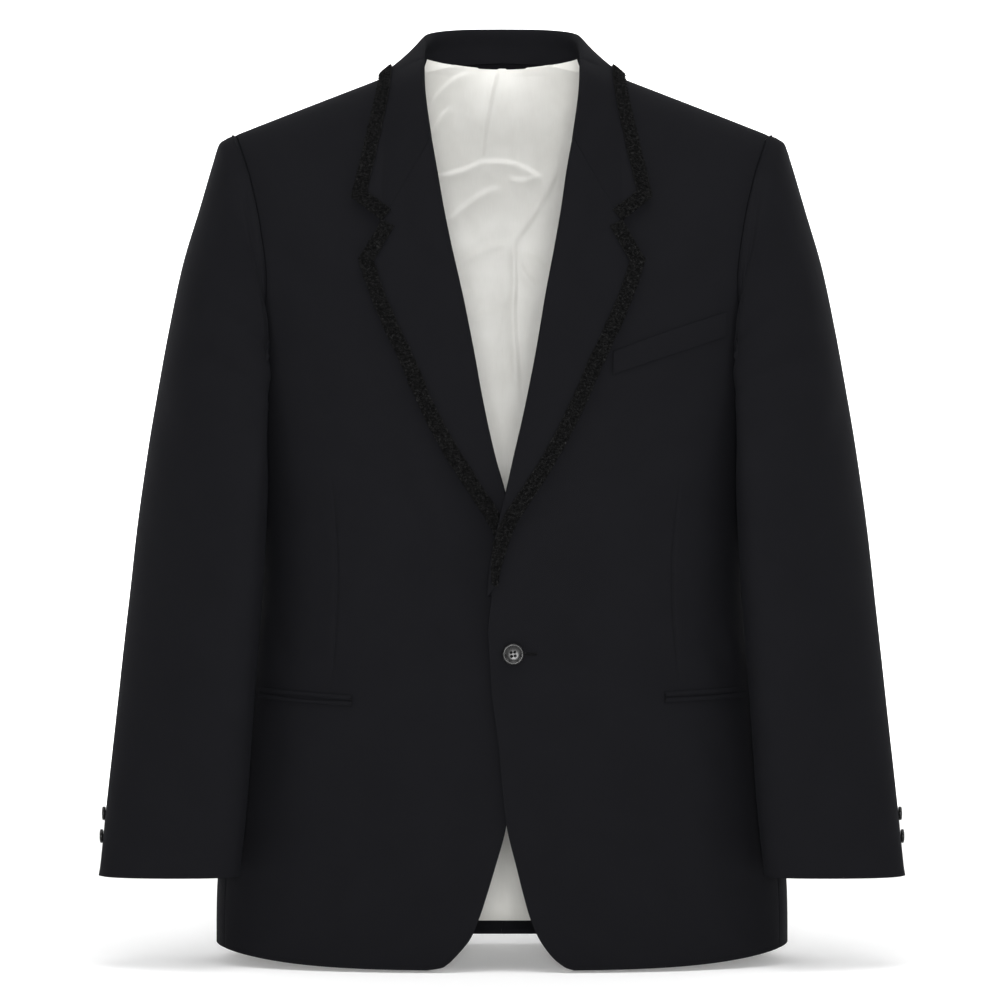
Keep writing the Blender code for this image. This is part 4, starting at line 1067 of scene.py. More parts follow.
# ---- pockets ------------------------------------------------------------------------
# A welt stands at the chest on the wearer's left. Each hip pocket has no flap: two
# narrow jets lie edge to edge, with a bar tack at the end of the mouth.
THIN_CLOTH = 1.5
LAY_GAP = 0.3
# The welt's two ends: x, and the heights of its upper and its lower edge.
WELT = ((92.0, -249.8, -269.5), (188.0, -215.5, -236.5))
# Each pocket's side, its inner and outer end, and how far its mouth gapes.
POCKETS = (("left", (135.0, -537.6), (203.0, -535.0), 0.5),
           ("right", (124.5, -540.4), (204.0, -536.0), 1.7))
JET_HEIGHT = 4.4
MOUTH_GAP = 0.6


def front_relief(x, z, side):
    """The fold field of the front panel, so that what lies on it follows its folds."""
    facing = np.clip(-front_y(x, z) / TURN_Y, 0, 1)
    return folded(x, z, FRONT_FOLDS[side]) * facing * off_roll(x, z, side)


def front_strip(start, end, low, high, side, crown, bow=(0.0, 0.0), cols=60, rows=9):
    """A crowned strip on a front: low and high are its edges above the line from start
    to end, each with its height at both ends, and bow moves them at the middle."""
    share = np.linspace(0, 1, cols)[None]
    level = np.linspace(0, 1, rows)[:, None]
    x = start[0] + (end[0] - start[0]) * share
    line = start[1] + (end[1] - start[1]) * share
    swell = np.sin(np.pi * share) ** 2
    bottom = line + low[0] + (low[1] - low[0]) * share + bow[0] * swell
    top = line + high[0] + (high[1] - high[0]) * share + bow[1] * swell
    z = bottom + (top - bottom) * level
    x = np.broadcast_to(x, z.shape)
    lift = LAY_GAP + THIN_CLOTH * (0.72 + crown * np.sin(np.pi * level) ** 0.6)
    lift = lift * np.ones_like(x) + front_relief(x, z, side)
    return on_front(x, z, side, lift)


points = front_strip((WELT[0][0], WELT[0][2]), (WELT[1][0], WELT[1][2]), (0, 0),
                     [row[1] - row[2] for row in WELT], "left", 0.35, (0.0, 0.6), 70, 16)
welt = cloth("chest_welt", points, (0, -1, 0), WOOL, THIN_CLOTH * 0.8, 1, 0.5)
sewn(welt, "chest_welt")

for side, start, end, gape in POCKETS:
    sign = dict(SIDES)[side]
    half = MOUTH_GAP / 2
    for edge, low, high, bow in (
            ("upper", half, half + JET_HEIGHT, (gape * 0.4, 0.0)),
            ("lower", -half - JET_HEIGHT, -half, (0.0, -gape * 0.8))):
        points = front_strip(start, end, (low, low), (high, high), side, 0.5, bow)
        jet = cloth(f"jet_{edge}_{side}", points, (0, -1, 0), WOOL, THIN_CLOTH * 0.7, sign, 0.35)
        sewn(jet, f"jet_{edge}_{side}")

# ---- braid --------------------------------------------------------------------------
# A flat woven band of black wool, 11.5 mm wide, with looped yarns all over it. It binds
# the collar's edge from notch to notch, and each lapel from its break to the notch.
BRAID_WIDTH = 11.5
BRAID_GAP = 0.2
BRAID_THICKNESS = 1.1
YARN_RADIUS = 0.48
YARN_LOOP = 1.3         # radius of the loops
YARN_PITCH = 2.6        # loops lie this far apart along the band
YARN_ROWS = 5
LOOP_POINTS = 9         # points of a yarn in each loop
LOOP_SIZES = (0.65, 1.25)       # least and largest loop, as a share of YARN_LOOP
LANE_DRIFT = 0.5        # how far a yarn strays from its lane
LANE_PHASE = 2.1        # by how much each lane's loops are turned on from the last one's
YARN_LIFT, YARN_WAVE = 0.35, 0.5        # height over the band, and how far it rises and dips
EDGE_DROP = 0.35        # how far a loop sinks for each mm that it hangs over the band's edge


def black_braid():
    """Looped wool yarn: darker than the cloth, with pale specks from noise that are partly uneven
    fibre and partly painted highlights on the loops.
    """
    material, tree, shader = blank_material("black_braid", 0.9, specular=0.05, sheen=0.01)
    place = tree.nodes.new("ShaderNodeTexCoord").outputs["Object"]
    fibres = noise_node(tree, place, 900.0, 3.0, 0.7)
    patches = noise_node(tree, place, 480.0, 2.0, 0.5)
    uneven = math_node(tree, "MULTIPLY_ADD", patches, 2.0, -0.2)
    # The pale specks are partly the yarn's uneven fibre and partly painted highlights standing in
    # for light caught on the loops.
    yarn_tone_and_glints = math_node(tree, "MULTIPLY", fibres, uneven)
    tone = math_node(tree, "POWER", yarn_tone_and_glints, 3.0)
    tree.links.new(blend_colours(tree, tone, (0.0008, 0.0008, 0.0009), (0.058, 0.058, 0.058)),
                   shader.inputs["Base Color"])
    bumped(tree, shader, fibres, 0.00025, 0.8)
    return material


BRAID = black_braid()
BAND_STEP = 0.002       # step along a surface over which its directions are measured
BAND_END_ROWS = 46
MITRE_REACH = 50.0      # the mitre's shift is taken up over this length of the band


def run_length(points):
    """Lengths along a line of points, from its first point."""
    return np.concatenate([[0], np.cumsum(np.linalg.norm(np.diff(points, axis=0), axis=-1))])


def edge_line(face, along, out, outward):
    """A free edge of a surface: its points, and the ways inside, ahead and off the face."""
    point = face(along, out)
    run = (face(np.minimum(along + BAND_STEP, 1), out)
           - face(np.maximum(along - BAND_STEP, 0), out))
    rise = point - face(along, out - BAND_STEP)
    normal = np.cross(run, rise)
    normal /= np.linalg.norm(normal, axis=-1, keepdims=True)
    normal *= np.sign(np.sum(normal * outward, axis=-1, keepdims=True))
    ahead = np.gradient(point, axis=0)
    ahead /= np.linalg.norm(ahead, axis=-1, keepdims=True)
    inward = np.cross(normal, ahead)
    inside = -rise if np.ptp(along) > 0 else -run
    inward *= np.sign(np.sum(inward * inside, axis=-1, keepdims=True))
    return point, inward, ahead, normal


def edge_band(face, width_at, steps, end_out, across, lift, outward):
    """A band along a surface's free edge, turned at its corner and along its end.

    face(along, out) is the surface. The outer line is its edge, and the inner line lies
    a braid's width inside it, square to it, meeting in a mitre at the corner.
    """
    end_steps = np.linspace(1, end_out, BAND_END_ROWS)
    edges = (edge_line(face, steps, np.ones_like(steps), outward),
             edge_line(face, np.full_like(end_steps, steps[-1]), end_steps, outward))
    to_inside, from_corner = edges[0][1][-1], edges[1][1][0]
    corner = (to_inside + from_corner) / (1 + np.sum(to_inside * from_corner)) * BRAID_WIDTH
    widths = (width_at(steps) * np.ones_like(steps))[:, None], BRAID_WIDTH
    share = np.asarray(across, float)[None, :, None]
    bands, ups = [], []
    for (point, inward, ahead, normal), width, last in zip(edges, widths, (True, False)):
        length = run_length(point)
        if last:
            length = length[-1] - length
        back = abs(np.sum(corner * ahead[-1 if last else 0]))
        reach = min(MITRE_REACH, length.max())
        moved = np.where(length < reach, back + length * (reach - back) / reach, length)
        order = np.argsort(length)
        inner, way = (np.stack([np.interp(moved, length[order], values[order, axis])
                                for axis in range(3)], axis=-1) for values in (point, inward))
        inner = inner + way * width
        bands.append(point[:, None] + (inner - point)[:, None] * share)
        ups.append(np.repeat(normal[:, None], len(across), axis=1))
    points = np.concatenate([bands[0], bands[1][1:]])
    normal = np.concatenate([ups[0], ups[1][1:]])
    return points + normal * np.asarray(lift)[:, None], normal


def tubes(name, rings, material):
    """Tubes from an array of rings: tube, ring, corner and xyz, closed at both ends."""
    count, length, corners = rings.shape[:3]
    at = np.arange(count)[:, None, None] * length * corners
    step = np.arange(length - 1)[None, :, None] * corners
    corner = np.arange(corners)[None, None, :]
    after = (corner + 1) % corners
    base = at + step
    quads = np.stack([base + corner, base + after, base + corners + after,
                      base + corners + corner], axis=-1).reshape(-1, 4)
    start = at[:, 0, 0][:, None] + np.arange(corners)[::-1]
    end = at[:, 0, 0][:, None] + (length - 1) * corners + np.arange(corners)
    mesh = bpy.data.meshes.new(name)
    mesh.from_pydata((rings.reshape(-1, 3) * MM).tolist(), [],
                     quads.tolist() + start.tolist() + end.tolist())
    mesh.shade_smooth()
    mesh.materials.append(material)
    obj = bpy.data.objects.new(name, mesh)
    bpy.context.scene.collection.objects.link(obj)
    return obj


def tube_rings(path, up, radius, corners):
    """Round rings along paths, each turned square to its path, corners anticlockwise."""
    ahead = np.gradient(path, axis=1)
    ahead /= np.linalg.norm(ahead, axis=-1, keepdims=True)
    sideways = np.cross(up, ahead)
    sideways /= np.maximum(np.linalg.norm(sideways, axis=-1, keepdims=True), 1e-9)
    over = np.cross(ahead, sideways)
    turn = np.arange(corners) * 2 * np.pi / corners
    radius = np.asarray(radius)[..., None, None]
    return (path[:, :, None] + radius * (np.cos(turn)[:, None] * sideways[:, :, None]
                                         + np.sin(turn)[:, None] * over[:, :, None]))


def at_place(grid, row, col):
    """Bilinear reading of a grid at fractional rows and columns."""
    row = np.clip(row, 0, grid.shape[0] - 1.001)
    col = np.clip(col, 0, grid.shape[1] - 1.001)
    r, c = row.astype(int), col.astype(int)
    fr, fc = (row - r)[..., None], (col - c)[..., None]
    return ((grid[r, c] * (1 - fr) + grid[r + 1, c] * fr) * (1 - fc)
            + (grid[r, c + 1] * (1 - fr) + grid[r + 1, c + 1] * fr) * fc)


def looped_yarns(points, normal, seed):
    """Yarns that wind in loops along the band: circles carried forward, at uneven sizes.

    Each yarn keeps to its own lane. Its path is forward travel plus a circle, and it
    rises and dips as the circle turns, so that neighbouring loops cross.
    """
    random = np.random.default_rng(seed)
    length = run_length(points[:, points.shape[1] // 2])
    loops = int(length[-1] / YARN_PITCH)
    turn = np.linspace(0, loops, loops * LOOP_POINTS)
    paths, ups = [], []
    for lane in range(YARN_ROWS):
        wobble = np.interp(turn, np.arange(loops + 1), random.uniform(*LOOP_SIZES, loops + 1))
        phase = turn * 2 * np.pi + lane * LANE_PHASE
        forward = turn / loops * length[-1] + YARN_LOOP * wobble * np.sin(phase)
        centre = (lane + 0.5) / YARN_ROWS * BRAID_WIDTH
        drift = np.interp(turn, np.arange(loops + 1),
                          random.uniform(-LANE_DRIFT, LANE_DRIFT, loops + 1))
        sideways = centre + drift + YARN_LOOP * wobble * np.cos(phase) * (-1) ** lane
        row = np.interp(forward, length, np.arange(len(length)))
        col = sideways / BRAID_WIDTH * (points.shape[1] - 1)
        overhang = np.minimum(sideways, 0) + np.maximum(sideways - BRAID_WIDTH, 0)
        place, up = at_place(points, row, col), at_place(normal, row, col)
        cross = (at_place(points, row, np.full_like(col, 1.0))
                 - at_place(points, row, np.zeros_like(col)))
        cross /= np.linalg.norm(cross, axis=-1, keepdims=True)
        height = YARN_LIFT + YARN_WAVE * np.sin(phase * 0.5 + lane) * wobble
        height = height - EDGE_DROP * np.abs(overhang)
        paths.append(place + up * height[:, None] + cross * overhang[:, None])
        ups.append(up)
    return np.array(paths), np.array(ups)


def braid_piece(name, points, normal, seed, sign):
    """The woven band and its looped yarns as one mesh."""
    points, normal = points * (sign, 1, 1), normal * (sign, 1, 1)
    under = points - normal * BRAID_THICKNESS
    section = np.concatenate([points, under[:, ::-1]], axis=1)
    if sign < 0:
        section = section[:, ::-1]
    band = tubes(name, section[None], BRAID)
    paths, ups = looped_yarns(points, normal, seed)
    yarns = tubes(f"{name}_yarns", tube_rings(paths, ups, YARN_RADIUS, 4), BRAID)
    with bpy.context.temp_override(active_object=band, selected_editable_objects=[band, yarns]):
        bpy.ops.object.join()
    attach(band, "root")
    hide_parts(name)


LAPEL_BAND_ROWS, COLLAR_BAND_ROWS = 420, 330
BRAID_SEEDS = {"left": 11, "right": 12, "collar": 13}
LANES = np.linspace(-0.03, 1.0, 9)      # across the band, a little over the edge
CROWN = BRAID_GAP + BRAID_THICKNESS * (0.75 + 0.35 * np.sin(np.pi * np.linspace(0, 1, len(LANES))))
BREAK_TAPER = ((0.0, 0.05, 0.14), (3.6, 5.0, BRAID_WIDTH))      # its width up from the break
BRAID_START = 0.03      # it starts this far up the lapel
for side, sign in SIDES:
    points, normal = edge_band(lambda up, out: lapel_face(up, out, side),
                               lambda up: np.interp(up, *BREAK_TAPER),
                               np.linspace(BRAID_START, 1, LAPEL_BAND_ROWS),
                               NOTCH_OUT, LANES, CROWN, np.array([0.0, -1.0, 0.0]))
    braid_piece(f"braid_lapel_{side}", points, normal, BRAID_SEEDS[side], sign)

half_points, half_normal = edge_band(collar_face, lambda along: BRAID_WIDTH,
                                     np.linspace(0.0, 1, COLLAR_BAND_ROWS), NOTCH_SHARE, LANES,
                                     CROWN, np.array([0.3, -0.2, 1.0]))
braid_piece("braid_collar", both_halves(half_points), both_halves(half_normal),
            BRAID_SEEDS["collar"], 1)

# ---- buttons ------------------------------------------------------------------------
# Turned black buttons with a raised rim and four holes: one at the waist, and two small
# ones at each cuff, sewn on with black thread.
BUTTON_DIAMETER, BUTTON_THICKNESS = 18.0, 3.6
BUTTON_X, BUTTON_Z = 9.2, -500.9
BUTTON_SHANK = 0.8
CUFF_BUTTON_DIAMETER, CUFF_BUTTON_THICKNESS = 12.0, 3.0
CUFF_BUTTON_RISES = (32.0, 50.5)
CUFF_BUTTON_ANGLE = 352.0
# Shares of the diameter: the wells' places and radius. Then their depth and the height of
# the thread, as shares of the thickness, and how wide and thick the thread lies.
WELL_PLACE, WELL_RADIUS, WELL_DEPTH = 0.085, 0.048, 0.42
THREAD_LOW, THREAD_ARCH = 0.45, 0.22
THREAD_LANE, THREAD_RADIUS = 0.16, 0.17


def black_horn():
    """Polished dark horn with faint streaks."""
    material, tree, shader = blank_material("black_button", 0.28, specular=0.3)
    place = tree.nodes.new("ShaderNodeTexCoord").outputs["Object"]
    streaks = noise_node(tree, place, 260.0, 4.0, 0.6)
    tree.links.new(blend_colours(tree, streaks, (0.0025, 0.0025, 0.0028), (0.014, 0.0138, 0.0138)),
                   shader.inputs["Base Color"])
    tree.links.new(math_node(tree, "MULTIPLY_ADD", streaks, 0.16, 0.2), shader.inputs["Roughness"])
    shader.inputs["Coat Weight"].default_value = 0.09
    shader.inputs["Coat Roughness"].default_value = 0.2
    return material


HORN = black_horn()


def button_rings(diameter, thickness):
    """Rings of a turned button, from the middle of its back round to that of its face.

    The face's height is a dished disc with a round rim, less four round wells.
    """
    radius = diameter / 2
    hole_at, hole = diameter * WELL_PLACE, diameter * WELL_RADIUS
    turn = np.linspace(0, 2 * np.pi, 96, endpoint=False)[None]
    back = ((0.0001, 0.0), (0.60, 0.0), (0.86, 0.12), (0.97, 0.32), (1.0, 0.55), (0.98, 0.75))
    rim = ((0.95, 0.90), (0.90, 0.98), (0.84, 1.0), (0.77, 0.96), (0.71, 0.84), (0.66, 0.72))
    dish = [(share, 0.60 + 0.10 * (share / 0.62) ** 4) for share in np.linspace(0.62, 0.0001, 34)]
    profile = np.array([*back, *rim, *dish])
    r = profile[:, 0][:, None] * radius
    x, y = r * np.cos(turn), r * np.sin(turn)
    height = profile[:, 1][:, None] * thickness * np.ones_like(turn)
    well = sum(np.exp(-((np.hypot(x - sx * hole_at, y - sy * hole_at) / hole) ** 6))
               for sx in (-1, 1) for sy in (-1, 1))
    on_face = (np.arange(len(profile)) >= len(back))[:, None]
    height = height - on_face * well * thickness * WELL_DEPTH
    return np.stack([x, y, height], axis=-1)


def thread_rings(diameter, thickness):
    """Two bars of two threads each across the middle, from well to well."""
    hole_at = diameter * WELL_PLACE
    share = np.linspace(-1, 1, 9)
    arch = thickness * (THREAD_LOW + THREAD_ARCH * (1 - share**4))
    paths = [np.stack([share * hole_at, np.full_like(share, place * hole_at + lane), arch], axis=-1)
             for place in (-1, 1) for lane in (-THREAD_LANE, THREAD_LANE)]
    return tube_rings(np.array(paths), np.array([0.0, 0.0, 1.0]), THREAD_RADIUS, 6)


def sewn_button(node, diameter, thickness, centre, facing, roll):
    """A button and its thread, set on the cloth square to the direction it faces."""
    turn = Vector(facing).to_track_quat("Z", "Y").to_matrix().to_4x4()
    place = Matrix.Translation(Vector(centre) * MM) @ turn @ Matrix.Rotation(roll, 4, "Z")
    button = tubes(node, button_rings(diameter, thickness)[None], HORN)
    thread = tubes(f"{node}_thread", thread_rings(diameter, thickness), BRAID)
    for obj in (button, thread):
        obj.data.transform(place)
        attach(obj, "root")
    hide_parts(node)


button_at = on_front(np.array([BUTTON_X]), np.array([BUTTON_Z]), "left", BUTTON_SHANK)[0]
sewn_button("front_button", BUTTON_DIAMETER, BUTTON_THICKNESS, button_at, (0.04, -1, 0.02), 0.1)
for side, sign in SIDES:
    for number, rise in enumerate(CUFF_BUTTON_RISES, start=1):
        down = 1 - rise / SLEEVE_LENGTH
        centre = sleeve(np.array([down]), np.array([CUFF_BUTTON_ANGLE]))[0]
        centre = (centre + np.array([BUTTON_SHANK, 0, 0])) * (sign, 1, 1)
        sewn_button(f"cuff_button_{number}_{side}", CUFF_BUTTON_DIAMETER, CUFF_BUTTON_THICKNESS,
                    centre, (sign, 0, 0), 0.3 * number)

# ---- buttonhole, bar tacks ----------------------------------------------------------
# The buttonhole is worked in black thread round a slit that runs back from the button.
# Short bars of thread close the ends of the hip pockets.
HOLE_START, HOLE_END = 4.0, 29.0
HOLE_HALF_HEIGHT, HOLE_STEPS = 0.85, 260
STITCH_RADIUS = 0.42
TACK_HALF, TACK_RADIUS = 3.4, 0.3


def worked_slit():
    """A row of stitches round the slit: a long loop whose thickness beads along it."""
    turn = np.linspace(0, 2 * np.pi, HOLE_STEPS)
    along = np.sign(np.cos(turn)) * np.abs(np.cos(turn)) ** 0.5
    x = (HOLE_START + HOLE_END) / 2 + (HOLE_END - HOLE_START) / 2 * along
    z = BUTTON_Z + HOLE_HALF_HEIGHT * np.sin(turn) * (1 + 0.5 * (x > HOLE_END - 3))
    path = on_front(x, z, "left", 0.35 + front_relief(x, z, "left"))
    radius = STITCH_RADIUS * (1 + 0.3 * np.sin(turn * 60))[None]
    return tube_rings(path[None], np.array([0.0, -1.0, 0.0]), radius, 6)


buttonhole = tubes("buttonhole", worked_slit(), BRAID)
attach(buttonhole, "root")

for side, (x_inner, z_inner), _, _ in POCKETS:
    sign = dict(SIDES)[side]
    z = z_inner + np.linspace(-TACK_HALF, TACK_HALF, 40)
    x = np.full_like(z, x_inner + 0.4) + 0.25 * np.sin(np.linspace(0, 40 * np.pi, 40))
    path = on_front(x, z, side, LAY_GAP + THIN_CLOTH + 0.5 + front_relief(x, z, side))
    tack = tubes(f"bar_tack_{side}", tube_rings((path * (sign, 1, 1))[None],
                                                np.array([0.0, -1.0, 0.0]), TACK_RADIUS, 6), BRAID)
    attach(tack, "root")

# ---- lining -------------------------------------------------------------------------
# Off-white satin, a little longer and wider than the coat, so it lies in creases. It
# reaches up into the collar's stand and ends above the turned hem of black wool.
LINING_WALL = 1.0
LINING_INSET = 5.0
LINING_HEM = 12.5
LINING_TOP_Z = (4.8, 9.6)     # height of its upper edge, in the middle and at the lapels
LINING_TOP_X = 64.0
LINING_EVEN_Z = -60.0   # above this height its rows close up towards its edge
LINING_REACH = (66.0, 71.0)     # it leaves the stand between these x
HAIR = 0.08             # width of the last cell at the centre-back seam, as a share
LINING_GRID = (82, 12, 46, 158)         # columns to the neck and beyond, rows below and above
LINING_SIDE_GRID, LINING_SIDE_GAP = (26, 90), 2.0
LINING_EDGE_ROWS = 16
STAND_HEIGHT, STAND_CLEARANCE = 28.0, 1.2
NECK_SIDE_X = 78.0      # further out the lining's edge stays in the back's own depth
ROW_RISE = 0.01         # keeps rows apart where the edge has no height to gain
# Creases of the lining, in the coat's own x so that they cross the middle: x0, z0 to
# x1, z1, depth, width, and how far the line bows to its left.
LINING_CREASES = (
    (-2, 11, -17, -72, 1.5, 1.6, -2),
    (-63, -27, -26, 4, 1.4, 2.6, 5),
    (-61, -52, -47, -28, 1.7, 2.4, 2),
    (-56, -86, -17, -73, 1.5, 1.8, -2),
    (-17, -74, 32, -86, 1.6, 1.8, 5),
    (13, -36, 14, -78, 0.9, 2.0, 0),
    (7, -88, 34, -84, 1.3, 2.2, -3),
    (-46, -124, -6, -96, 1.4, 2.2, 3),
    (49, -84, 12, -144, 1.3, 2.4, 2),
    (-38, -155, -18, -132, 0.9, 3.0, 0),
    (-40, -162, 4, -143, 1.5, 2.0, 2),
    (11, -144, 11, -205, 1.5, 1.5, 1),
    (11, -200, 16, -280, 1.4, 1.6, -1),
    (14, -156, 38, -188, 1.3, 2.2, -4),
    (16, -155, 42, -170, 1.2, 2.0, 3),
    (-34, -184, -17, -198, 1.2, 2.6, 0),
    (-28, -212, 3, -206, 1.3, 2.0, 2),
    (-24, -235, -6, -240, 1.3, 2.0, 0),
    (0, -260, 13, -245, 1.3, 2.2, 0),
    (-4, -282, 12, -262, 0.9, 3.4, 0),
    (0, -314, 16, -304, 1.2, 2.2, 1),
    (-12, -290, -2, -330, 1.0, 3.0, 0),
    (-52, 2, -30, -66, -0.9, 9.0, 3),
    (40, 4, 30, -70, -0.9, 10.0, 0),
    (54, -20, 44, -96, 1.0, 6.0, 0),
    (34, -96, 24, -150, -0.8, 8.0, 0),
    (-30, -100, -24, -140, -0.9, 8.0, 0),
    (-6, -150, -10, -206, -0.9, 7.0, 0),
    (30, -196, 22, -250, 0.9, 6.0, 0),
    (-18, -250, -12, -286, -0.7, 6.0, 0),
    (7, -672, -5, -692, 1.4, 3.0, 0),
    (-14, -700, -4, -676, 1.1, 5.0, 0),
    (14, -690, 22, -744, 1.3, 5.0, 2),
    (-22, -730, -6, -744, 1.0, 4.0, 0),
    (3, -700, 6, -744, 0.9, 5.0, 0),
    (60, -360, 40, -520, 1.8, 14.0, 6),
    (-70, -380, -44, -560, 1.8, 15.0, -6),
    (120, -380, 100, -640, 1.6, 17.0, 0),
    (-130, -400, -110, -660, 1.6, 18.0, 0),
    (160, -120, 120, -300, 1.5, 14.0, 0),
    (-150, -110, -118, -310, 1.5, 14.0, 0),
    (30, -440, 10, -600, 1.2, 10.0, 0),
)
CREASE_GAIN = 1.5
CREASE_STEP, CREASE_RUN = 0.42, 3.4     # of its width: the steep side and the long one
CREASE_ROOM = 2.6       # a crease stays this close to the lining's own surface
CREASE_SINK = 0.3       # the flat cloth beside a crease lies this share of its depth lower
CREASE_SPREAD = 60.0    # and comes back level over this distance
CREASE_EDGE, CREASE_TURN = 6.0, 20.0    # creases fade near the upper edge and near y = 0


def creased(x, z, rows):
    """Pressed creases: cloth that laps over itself, steep on one side and long on the other.

    Across the line it is a logistic step times an exponential decay. The line bows as a
    parabola and fades at its ends.
    """
    field = np.zeros(np.broadcast(x, z).shape)
    for x0, z0, x1, z1, depth, width, bow in rows:
        run_x, run_z = x1 - x0, z1 - z0
        length = np.hypot(run_x, run_z)
        along = ((x - x0) * run_x + (z - z0) * run_z) / length**2
        across = ((x - x0) * run_z - (z - z0) * run_x) / length
        across = across + bow * 4 * along * (1 - along)
        step = 1 / (1 + np.exp(-np.clip(across / (width * CREASE_STEP), -30, 30)))
        decay = np.exp(-np.maximum(across, 0) / (width * CREASE_RUN))
        ends = np.exp(-(((along - 0.5) / 0.5) ** 6)) * bell(across, CREASE_SPREAD)
        field += depth * CREASE_GAIN * (step * decay - CREASE_SINK) * ends
    return CREASE_ROOM * np.tanh(field / CREASE_ROOM)


def off_white_satin():
    """Lining satin: smooth threads that run up and down, and a soft gloss."""
    material, tree, shader = blank_material("off_white_satin", 0.45, specular=0.4, sheen=0.1)
    place = tree.nodes.new("ShaderNodeUVMap")
    place.uv_map = "cloth"
    stretch = tree.nodes.new("ShaderNodeMapping")
    stretch.inputs["Scale"].default_value = (1.0, 0.03, 1.0)
    tree.links.new(place.outputs["UV"], stretch.inputs["Vector"])
    threads = noise_node(tree, stretch.outputs["Vector"], 2600.0, 2.0, 0.5)
    patches = noise_node(tree, place.outputs["UV"], 30.0, 3.0, 0.5)
    tone = math_node(tree, "MULTIPLY_ADD", patches, 0.7, math_node(tree, "MULTIPLY", threads, 0.3))
    tree.links.new(blend_colours(tree, tone, (0.62, 0.61, 0.57), (0.84, 0.835, 0.80)),
                   shader.inputs["Base Color"])
    bumped(tree, shader, threads, 0.00006, 0.5)
    return material


SATIN = off_white_satin()


def stand_face(x, z):
    """Depth of the collar stand's inner face at x and z, between its seam and its fold."""
    neck, fold, _ = collar_sections(np.linspace(0, STAND_END, 60))
    share = (z - np.interp(x, neck[:, 0], neck[:, 2])) / STAND_HEIGHT
    return (np.interp(x, neck[:, 0], neck[:, 1])
            + share * np.interp(x, neck[:, 0], fold[:, 1] - neck[:, 1]))


def lining_back_points():
    """The back's inner face, whose upper edge goes on up inside the collar's stand."""
    points = back_points(*LINING_GRID, LINING_HEM)[:-1]
    points = points - normals(points, (0, 1, 0)) * LINING_INSET
    x, top = points[-1, :, 0], points[-1, :, 2]
    edge_z = LINING_TOP_Z[0] + (LINING_TOP_Z[1] - LINING_TOP_Z[0]) * (x / LINING_TOP_X) ** 2
    inside_stand = np.clip((LINING_REACH[1] - x) / (LINING_REACH[1] - LINING_REACH[0]), 0, 1)
    edge_z = top + (edge_z - top) * inside_stand
    squeeze = (np.minimum(edge_z, top) - LINING_EVEN_Z) / (top - LINING_EVEN_Z)
    above = np.maximum(points[..., 2] - LINING_EVEN_Z, 0)
    points[..., 2] += above * (squeeze - 1)
    top, edge_z = points[-1, :, 2], np.maximum(edge_z, points[-1, :, 2])
    rows = []
    for share in np.linspace(0, 1, LINING_EDGE_ROWS)[1:]:
        z = top + (edge_z - top) * share
        last_y = points[-1, :, 1]
        inside = stand_face(x, z) - STAND_CLEARANCE
        y = np.where(x < NECK_SIDE_X, last_y + (inside - last_y) * share, last_y)
        rows.append(np.stack([x, y, z + ROW_RISE * share], axis=-1))
    return np.concatenate([points, rows])


for side, sign in SIDES:
    points = lining_back_points()
    points[:, 0, 0] = 0.0
    hair = points[:, :1] + (points[:, 1:2] - points[:, :1]) * HAIR
    points = np.concatenate([points[:, :1], hair, points[:, 1:]], axis=1)
    relief = creased(sign * points[..., 0], points[..., 2], LINING_CREASES)
    below_edge = np.clip((LINING_TOP_Z[0] - points[..., 2]) / CREASE_EDGE, 0, 1)
    points[..., 1] -= relief * below_edge * np.clip(points[..., 1] / CREASE_TURN, 0, 1)
    lining = cloth(f"lining_back_{side}", points, (0, 1, 0), SATIN, LINING_WALL, sign, 0)
    sewn(lining, f"lining_back_{side}")

    points = side_points(*LINING_SIDE_GRID, LINING_HEM, LINING_SIDE_GAP)
    points = points - normals(points, (1, 0, 0)) * LINING_INSET
    lining = cloth(f"lining_side_{side}", points, (1, 0, 0), SATIN, LINING_WALL, sign, 0)
    sewn(lining, f"lining_side_{side}")

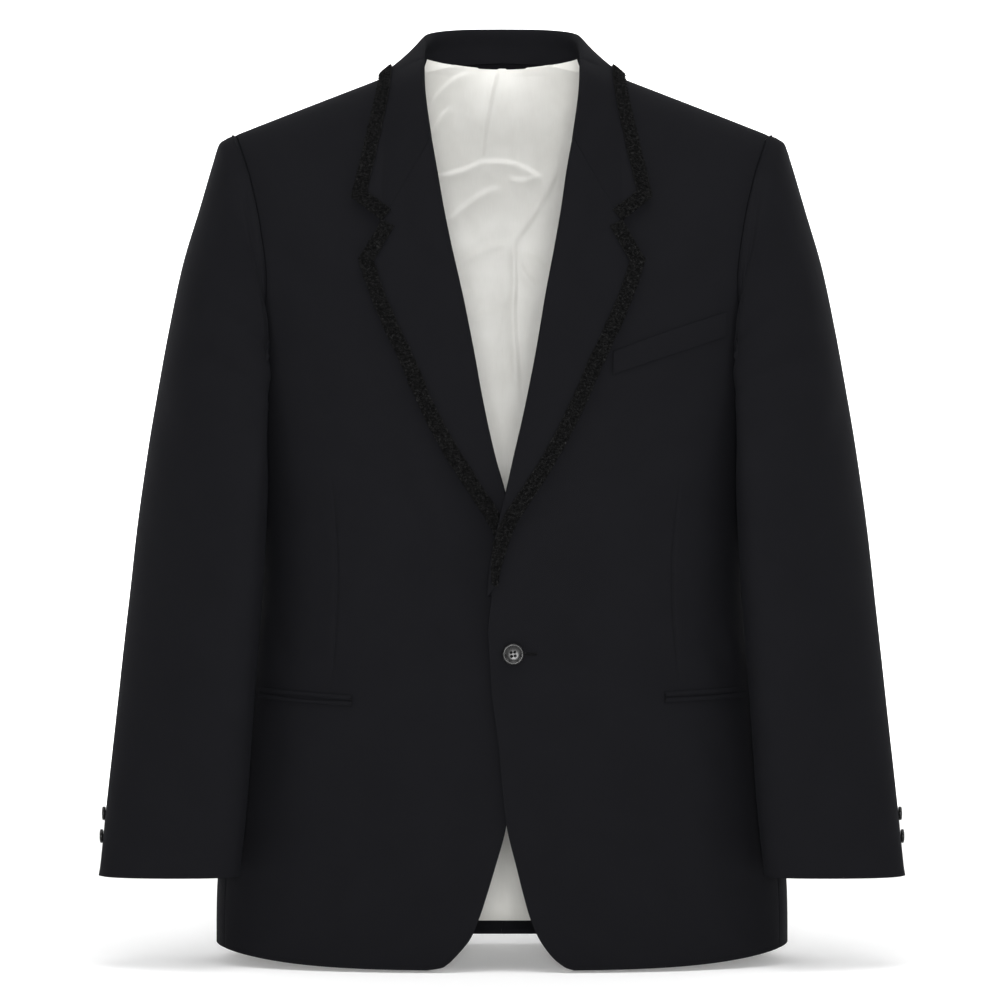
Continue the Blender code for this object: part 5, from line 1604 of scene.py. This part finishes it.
# ---- floor and light ----------------------------------------------------------------
# The coat hangs just above a white floor in front of a white wall. Light comes from high
# in front, from both sides and, more softly, from all round.
FLOOR_Z, WALL_Y = -0.7665, 5.2
FAR_Y = 1.6             # from here back the floor glows as the wall does
FLOOR = ((-8, -6, FLOOR_Z), (8, -6, FLOOR_Z), (8, FAR_Y, FLOOR_Z), (-8, FAR_Y, FLOOR_Z))
FAR_FLOOR = ((-8, FAR_Y, FLOOR_Z), (8, FAR_Y, FLOOR_Z), (8, WALL_Y, FLOOR_Z), (-8, WALL_Y, FLOOR_Z))
WALL = ((-8, WALL_Y, FLOOR_Z), (8, WALL_Y, FLOOR_Z), (8, WALL_Y, 7), (-8, WALL_Y, 7))


def studio(name, corners, glow):
    """A plain white surface that glows a little."""
    mesh = bpy.data.meshes.new(name)
    mesh.from_pydata(corners, [], [(0, 1, 2, 3)])
    obj = bpy.data.objects.new(name, mesh)
    bpy.context.scene.collection.objects.link(obj)
    paper, _, shader = blank_material(name, 0.9, specular=0.0)
    shader.inputs["Base Color"].default_value = (0.95, 0.95, 0.95, 1)
    shader.inputs["Emission Color"].default_value = (1, 1, 1, 1)
    shader.inputs["Emission Strength"].default_value = glow
    mesh.materials.append(paper)


studio("studio_floor", FLOOR, 0.15)
studio("studio_far_floor", FAR_FLOOR, 0.95)
studio("studio_wall", WALL, 0.95)

world = bpy.context.scene.world or bpy.data.worlds.new("studio")
bpy.context.scene.world = world
world.use_nodes = True
world.node_tree.nodes["Background"].inputs["Color"].default_value = (1, 1, 1, 1)
world.node_tree.nodes["Background"].inputs["Strength"].default_value = 0.35


COAT_MIDDLE = Vector((0, 0, -0.35))


def softbox(name, place, size, watts):
    """A square area light that looks at the middle of the coat."""
    light = bpy.data.lights.new(name, "AREA")
    light.size = size
    light.energy = watts
    obj = bpy.data.objects.new(name, light)
    obj.location = place
    obj.rotation_euler = (COAT_MIDDLE - Vector(place)).to_track_quat("-Z", "Y").to_euler()
    bpy.context.scene.collection.objects.link(obj)


softbox("overhead", (0.0, -0.9, 2.6), 2.0, 52)
softbox("front", (0.05, -3.5, -0.2), 0.6, 70)
softbox("side_left", (-2.6, -1.4, 1.5), 1.2, 16)
softbox("side_right", (2.6, -1.4, 1.6), 1.2, 22)
bpy.context.scene.view_settings.view_transform = "Standard"
